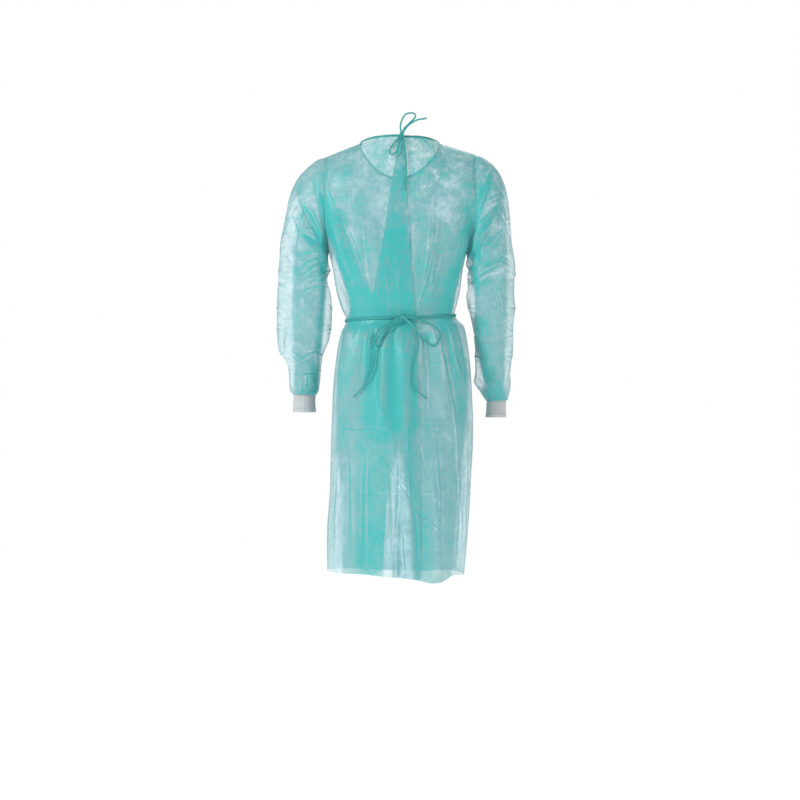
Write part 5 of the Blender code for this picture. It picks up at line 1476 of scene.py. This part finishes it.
def makeWaistTie(material):
    # A closed strip on the waist flat: the form's own points halfway down it, moved out,
    # and in again where the under panel lies lower beside the lap
    u = np.linspace(-1, 1, waistTie["points"])
    pair = np.array(waistTie["levels"])[:, None]
    front = surface("front", *np.broadcast_arrays(u[None, :], pair))
    back = surface("back", *np.broadcast_arrays(u[None, ::-1], pair))
    frontOut, backOut = gridNormals(front)[0], gridNormals(back)[0]
    beside = back[0, :, 0] - follow(upperEdge, "x", back[0, :, 2], "z")
    sink = shape["lapInset"] * (1 - ease(shape["lapFlat"], shape["lapBlend"], beside))
    sink = runningMean(sink * (beside > waistTie["lapStart"]), waistTie["easing"])
    path = np.concatenate([front.mean(axis=0), back.mean(axis=0)[1:-1]])
    facing = np.concatenate([frontOut, backOut[1:-1]])
    facing[:, 2] = 0
    facing = unit(facing)
    off = waistTie["standsOff"] - np.concatenate([0 * u, sink[1:-1]])
    path = path + facing * off[:, None]
    broad = np.broadcast_to(np.array([0.0, 0.0, 1.0]), path.shape)
    piece, _ = stripMesh("waist_belt_strip", path, broad, facing, waistTie["width"],
                         waistTie["thick"], True, material, waistTie["crinkle"], 60)
    fit(piece, "waist_belt")


knots = {"rows": 33, "around": 40, "grow": (1.15, 1.0, 1.1), "low": 0.80, "ridge": 0.24,
         "turns": 2.5, "twist": 0.9, "start": 0.6,
         "pole": 0.9}              # share of the radius at the two poles


def makeKnot(name, material):
    # The strip's turns as ridges round an ellipsoid whose poles point to the sides: the
    # radius rises and falls with the sine of the place from pole to pole, twisted a little
    middle, half = boxOf(name)
    radius = half * np.array(knots["grow"])
    fall = np.linspace(0, math.pi, knots["rows"])[:, None]
    around = (np.arange(knots["around"]) * 2 * np.pi / knots["around"])[None, :]
    twist = knots["twist"] * np.sin(around + knots["start"])
    ridge = knots["low"] + knots["ridge"] * abs(np.sin(fall * knots["turns"] + twist))
    unitPoints = np.stack(np.broadcast_arrays(np.cos(fall), np.sin(fall) * np.cos(around),
                                              np.sin(fall) * np.sin(around)), axis=-1)
    ridge = np.where(np.sin(fall) < 1e-6, knots["pole"], ridge)
    points = middle + unitPoints * radius * ridge[..., None]
    faces = gridFaces(knots["rows"], knots["around"], True)
    piece = makeMesh(name + "_turns", points, faces, material)
    tidyNormals(piece.data)
    fit(piece, name)


seamSizes = {"width": 3.0 * mm, "thick": 0.9 * mm, "sunk": 0.5 * mm, "crinkle": 0.1 * mm}


def makeSeams(panels, material):
    # Seam allowances just under the cloth: strips along the armholes, shoulders and sides
    rows, columns = grid["yokeRows"], grid["shoulderColumns"] + 1
    up = np.array([0.0, 0.0, 1.0])
    for side, back, edge in (("left", "back_left", 0), ("right", "back_right", -1)):
        sign = -1 if side == "left" else 1
        sleeve, outwards = panels["sleeve_" + side]
        points, normals = panels[back]
        shoulder = slice(0, columns) if side == "left" else slice(-columns, None)
        front = panels["front"][1]
        outside = np.concatenate([normals[:rows + 1, edge], front[1:rows, edge][::-1]])
        lines = {
            "armhole": (sleeve[0], outwards[0] + outside, True),
            "side": (points[rows + 1:, edge], 0 * points[rows + 1:, edge] + [sign, 0, 0], False),
            "shoulder": (points[0, shoulder], 0 * points[0, shoulder] + up, False),
        }
        for count, (line, (path, facing, closed)) in enumerate(lines.items()):
            along = np.roll(path, -1, axis=0) - np.roll(path, 1, axis=0)
            if not closed:
                along = np.gradient(path, axis=0)
            along = unit(along)
            facing = squareTo(facing, along)
            broad = unit(np.cross(along, facing))
            piece, _ = stripMesh("seam_" + line + "_" + side, path - facing * seamSizes["sunk"],
                                 broad, facing, seamSizes["width"], seamSizes["thick"],
                                 closed, material, seamSizes["crinkle"], 70 + count)
            fit(piece)


# Cuffs in millimetres: height, half width, half depth and x of the middle, top and bottom
cuffRows = {
    "left": table("z width depth x", (-613, 28.2, 28.2, -241), (-671, 29.2, 28.5, -242)),
    "right": table("z width depth x", (-629, 24.8, 25.3, 254), (-684, 25.8, 26.0, 252)),
}
knit = {"middleY": 0.037, "ribs": 40, "ribHeight": 0.8 * mm, "wall": 1.7 * mm,
        "loopPitch": 1.9 * mm, "loopHeight": 0.14 * mm, "around": 320, "rows": 96,
        "lipRows": 8, "insideRows": 16, "ribPower": 0.8, "lag": 0.5,
        "hem": 0.86, "hemBlend": 0.012, "hemRise": 0.45 * mm,
        "flareFrom": 0.7, "flare": 0.7 * mm, "uneven": 0.25 * mm,
        # painted shade inside the cuff and in a line along its hem, and painted light on the turned
        # lip
        "insideShade": 0.5, "hemShadow": 1.2, "lipLight": 0.5}


def makeCuff(side, material):
    # A knit tube: its outside carries ribs, a raised cosine round it, and loops, a cosine
    # down it that lags towards each rib's middle as a chevron; then a round lip at the
    # bottom, and a plain inside back up to the start
    rows = cuffRows[side]
    angle = (np.arange(knit["around"]) * 2 * np.pi / knit["around"])[None, :]
    down = np.linspace(0, 1, knit["rows"])[:, None]
    turn = np.linspace(0, 1, knit["lipRows"] + 2)[1:-1, None]
    inside = np.linspace(1, 0, knit["insideRows"])[:, None]
    part = np.concatenate([down, 1 + 0 * turn, inside])
    # how far in from the outside, and how far below the bottom edge
    deep = np.concatenate([0 * down, (1 - np.cos(turn * np.pi)) / 2, 1 + 0 * inside])
    lower = np.concatenate([0 * down, np.sin(turn * np.pi) * 0.5, 0 * inside])

    x, z, width, depth = ((rows[name][0] + (rows[name][1] - rows[name][0]) * part) * mm
                          for name in ("x", "z", "width", "depth"))
    rib = (0.5 + 0.5 * np.cos(angle * knit["ribs"]))**knit["ribPower"]
    length = abs(rows["z"][1] - rows["z"][0]) * mm
    lag = abs(np.sin(angle * knit["ribs"] / 2)) * knit["lag"]
    loop = 0.5 + 0.5 * np.cos(2 * np.pi * (part * length / knit["loopPitch"] + lag))
    outer = 1 - np.clip(deep, 0, 1)
    radial = -knit["wall"] * deep + outer * ((rib - 1) * knit["ribHeight"]
                                            + (loop - 1) * rib * knit["loopHeight"])
    radial = radial + knit["uneven"] * np.sin(3 * angle + 9 * part) * ease(0.0, 0.5, part)
    turned = ease(knit["hem"] - knit["hemBlend"], knit["hem"] + knit["hemBlend"], part)
    flared = knit["flare"] * ease(knit["flareFrom"], 1.0, part)
    radial = radial + (knit["hemRise"] * turned + flared) * outer
    points = np.stack([x + (width + radial) * np.cos(angle),
                       knit["middleY"] + (depth + radial) * np.sin(angle),
                       z - lower * knit["wall"] + 0 * angle], axis=-1)
    # painted shade: a dark line along the hem, darker rib grooves and inside, and a lighter turned
    # lip as painted light
    hemShadowLine = outer * np.exp(-((part - knit["hem"]) / knit["hemBlend"])**2)
    knitShade = (outer * (1 - rib) + knit["insideShade"] * deep + knit["hemShadow"] * hemShadowLine
              - knit["lipLight"] * outer * turned)
    # the last row comes back to the first, so that the tube is closed
    points, knitShade, loops = (np.concatenate([values, values[:1]])
                             for values in (points, knitShade, loop))
    faces = gridFaces(*points.shape[:2], True)
    piece = makeMesh("cuff_" + side + "_knit", points, faces, material,
                     {"knitShade": knitShade, "loops": loops})
    tidyNormals(piece.data)
    fit(piece, "cuff_" + side)


bpy.context.scene.view_settings.view_transform = "Standard"
makeCamera()
makeFloor()
makeBackdrop()
makeLamps()
print("camera and studio made")
panels = makeCloth()
print("cloth made")
tieCloth = bindingFinish("tie_cloth", bindingLook["alpha"])
makeTies(tieCloth)
for knotName in ("neck_knot", "waist_knot"):
    makeKnot(knotName, tieCloth)
makeWaistTie(tieCloth)
print("ties made")
makeBinding(panels, bindingFinish("binding_cloth", bindingLook["alpha"]))
makeSeams(panels, bindingFinish("seam_cloth", bindingLook["seamAlpha"]))
print("binding and seams made")
cuffKnit = knitFinish()
for cuffSide in ("left", "right"):
    makeCuff(cuffSide, cuffKnit)
print("cuffs made")
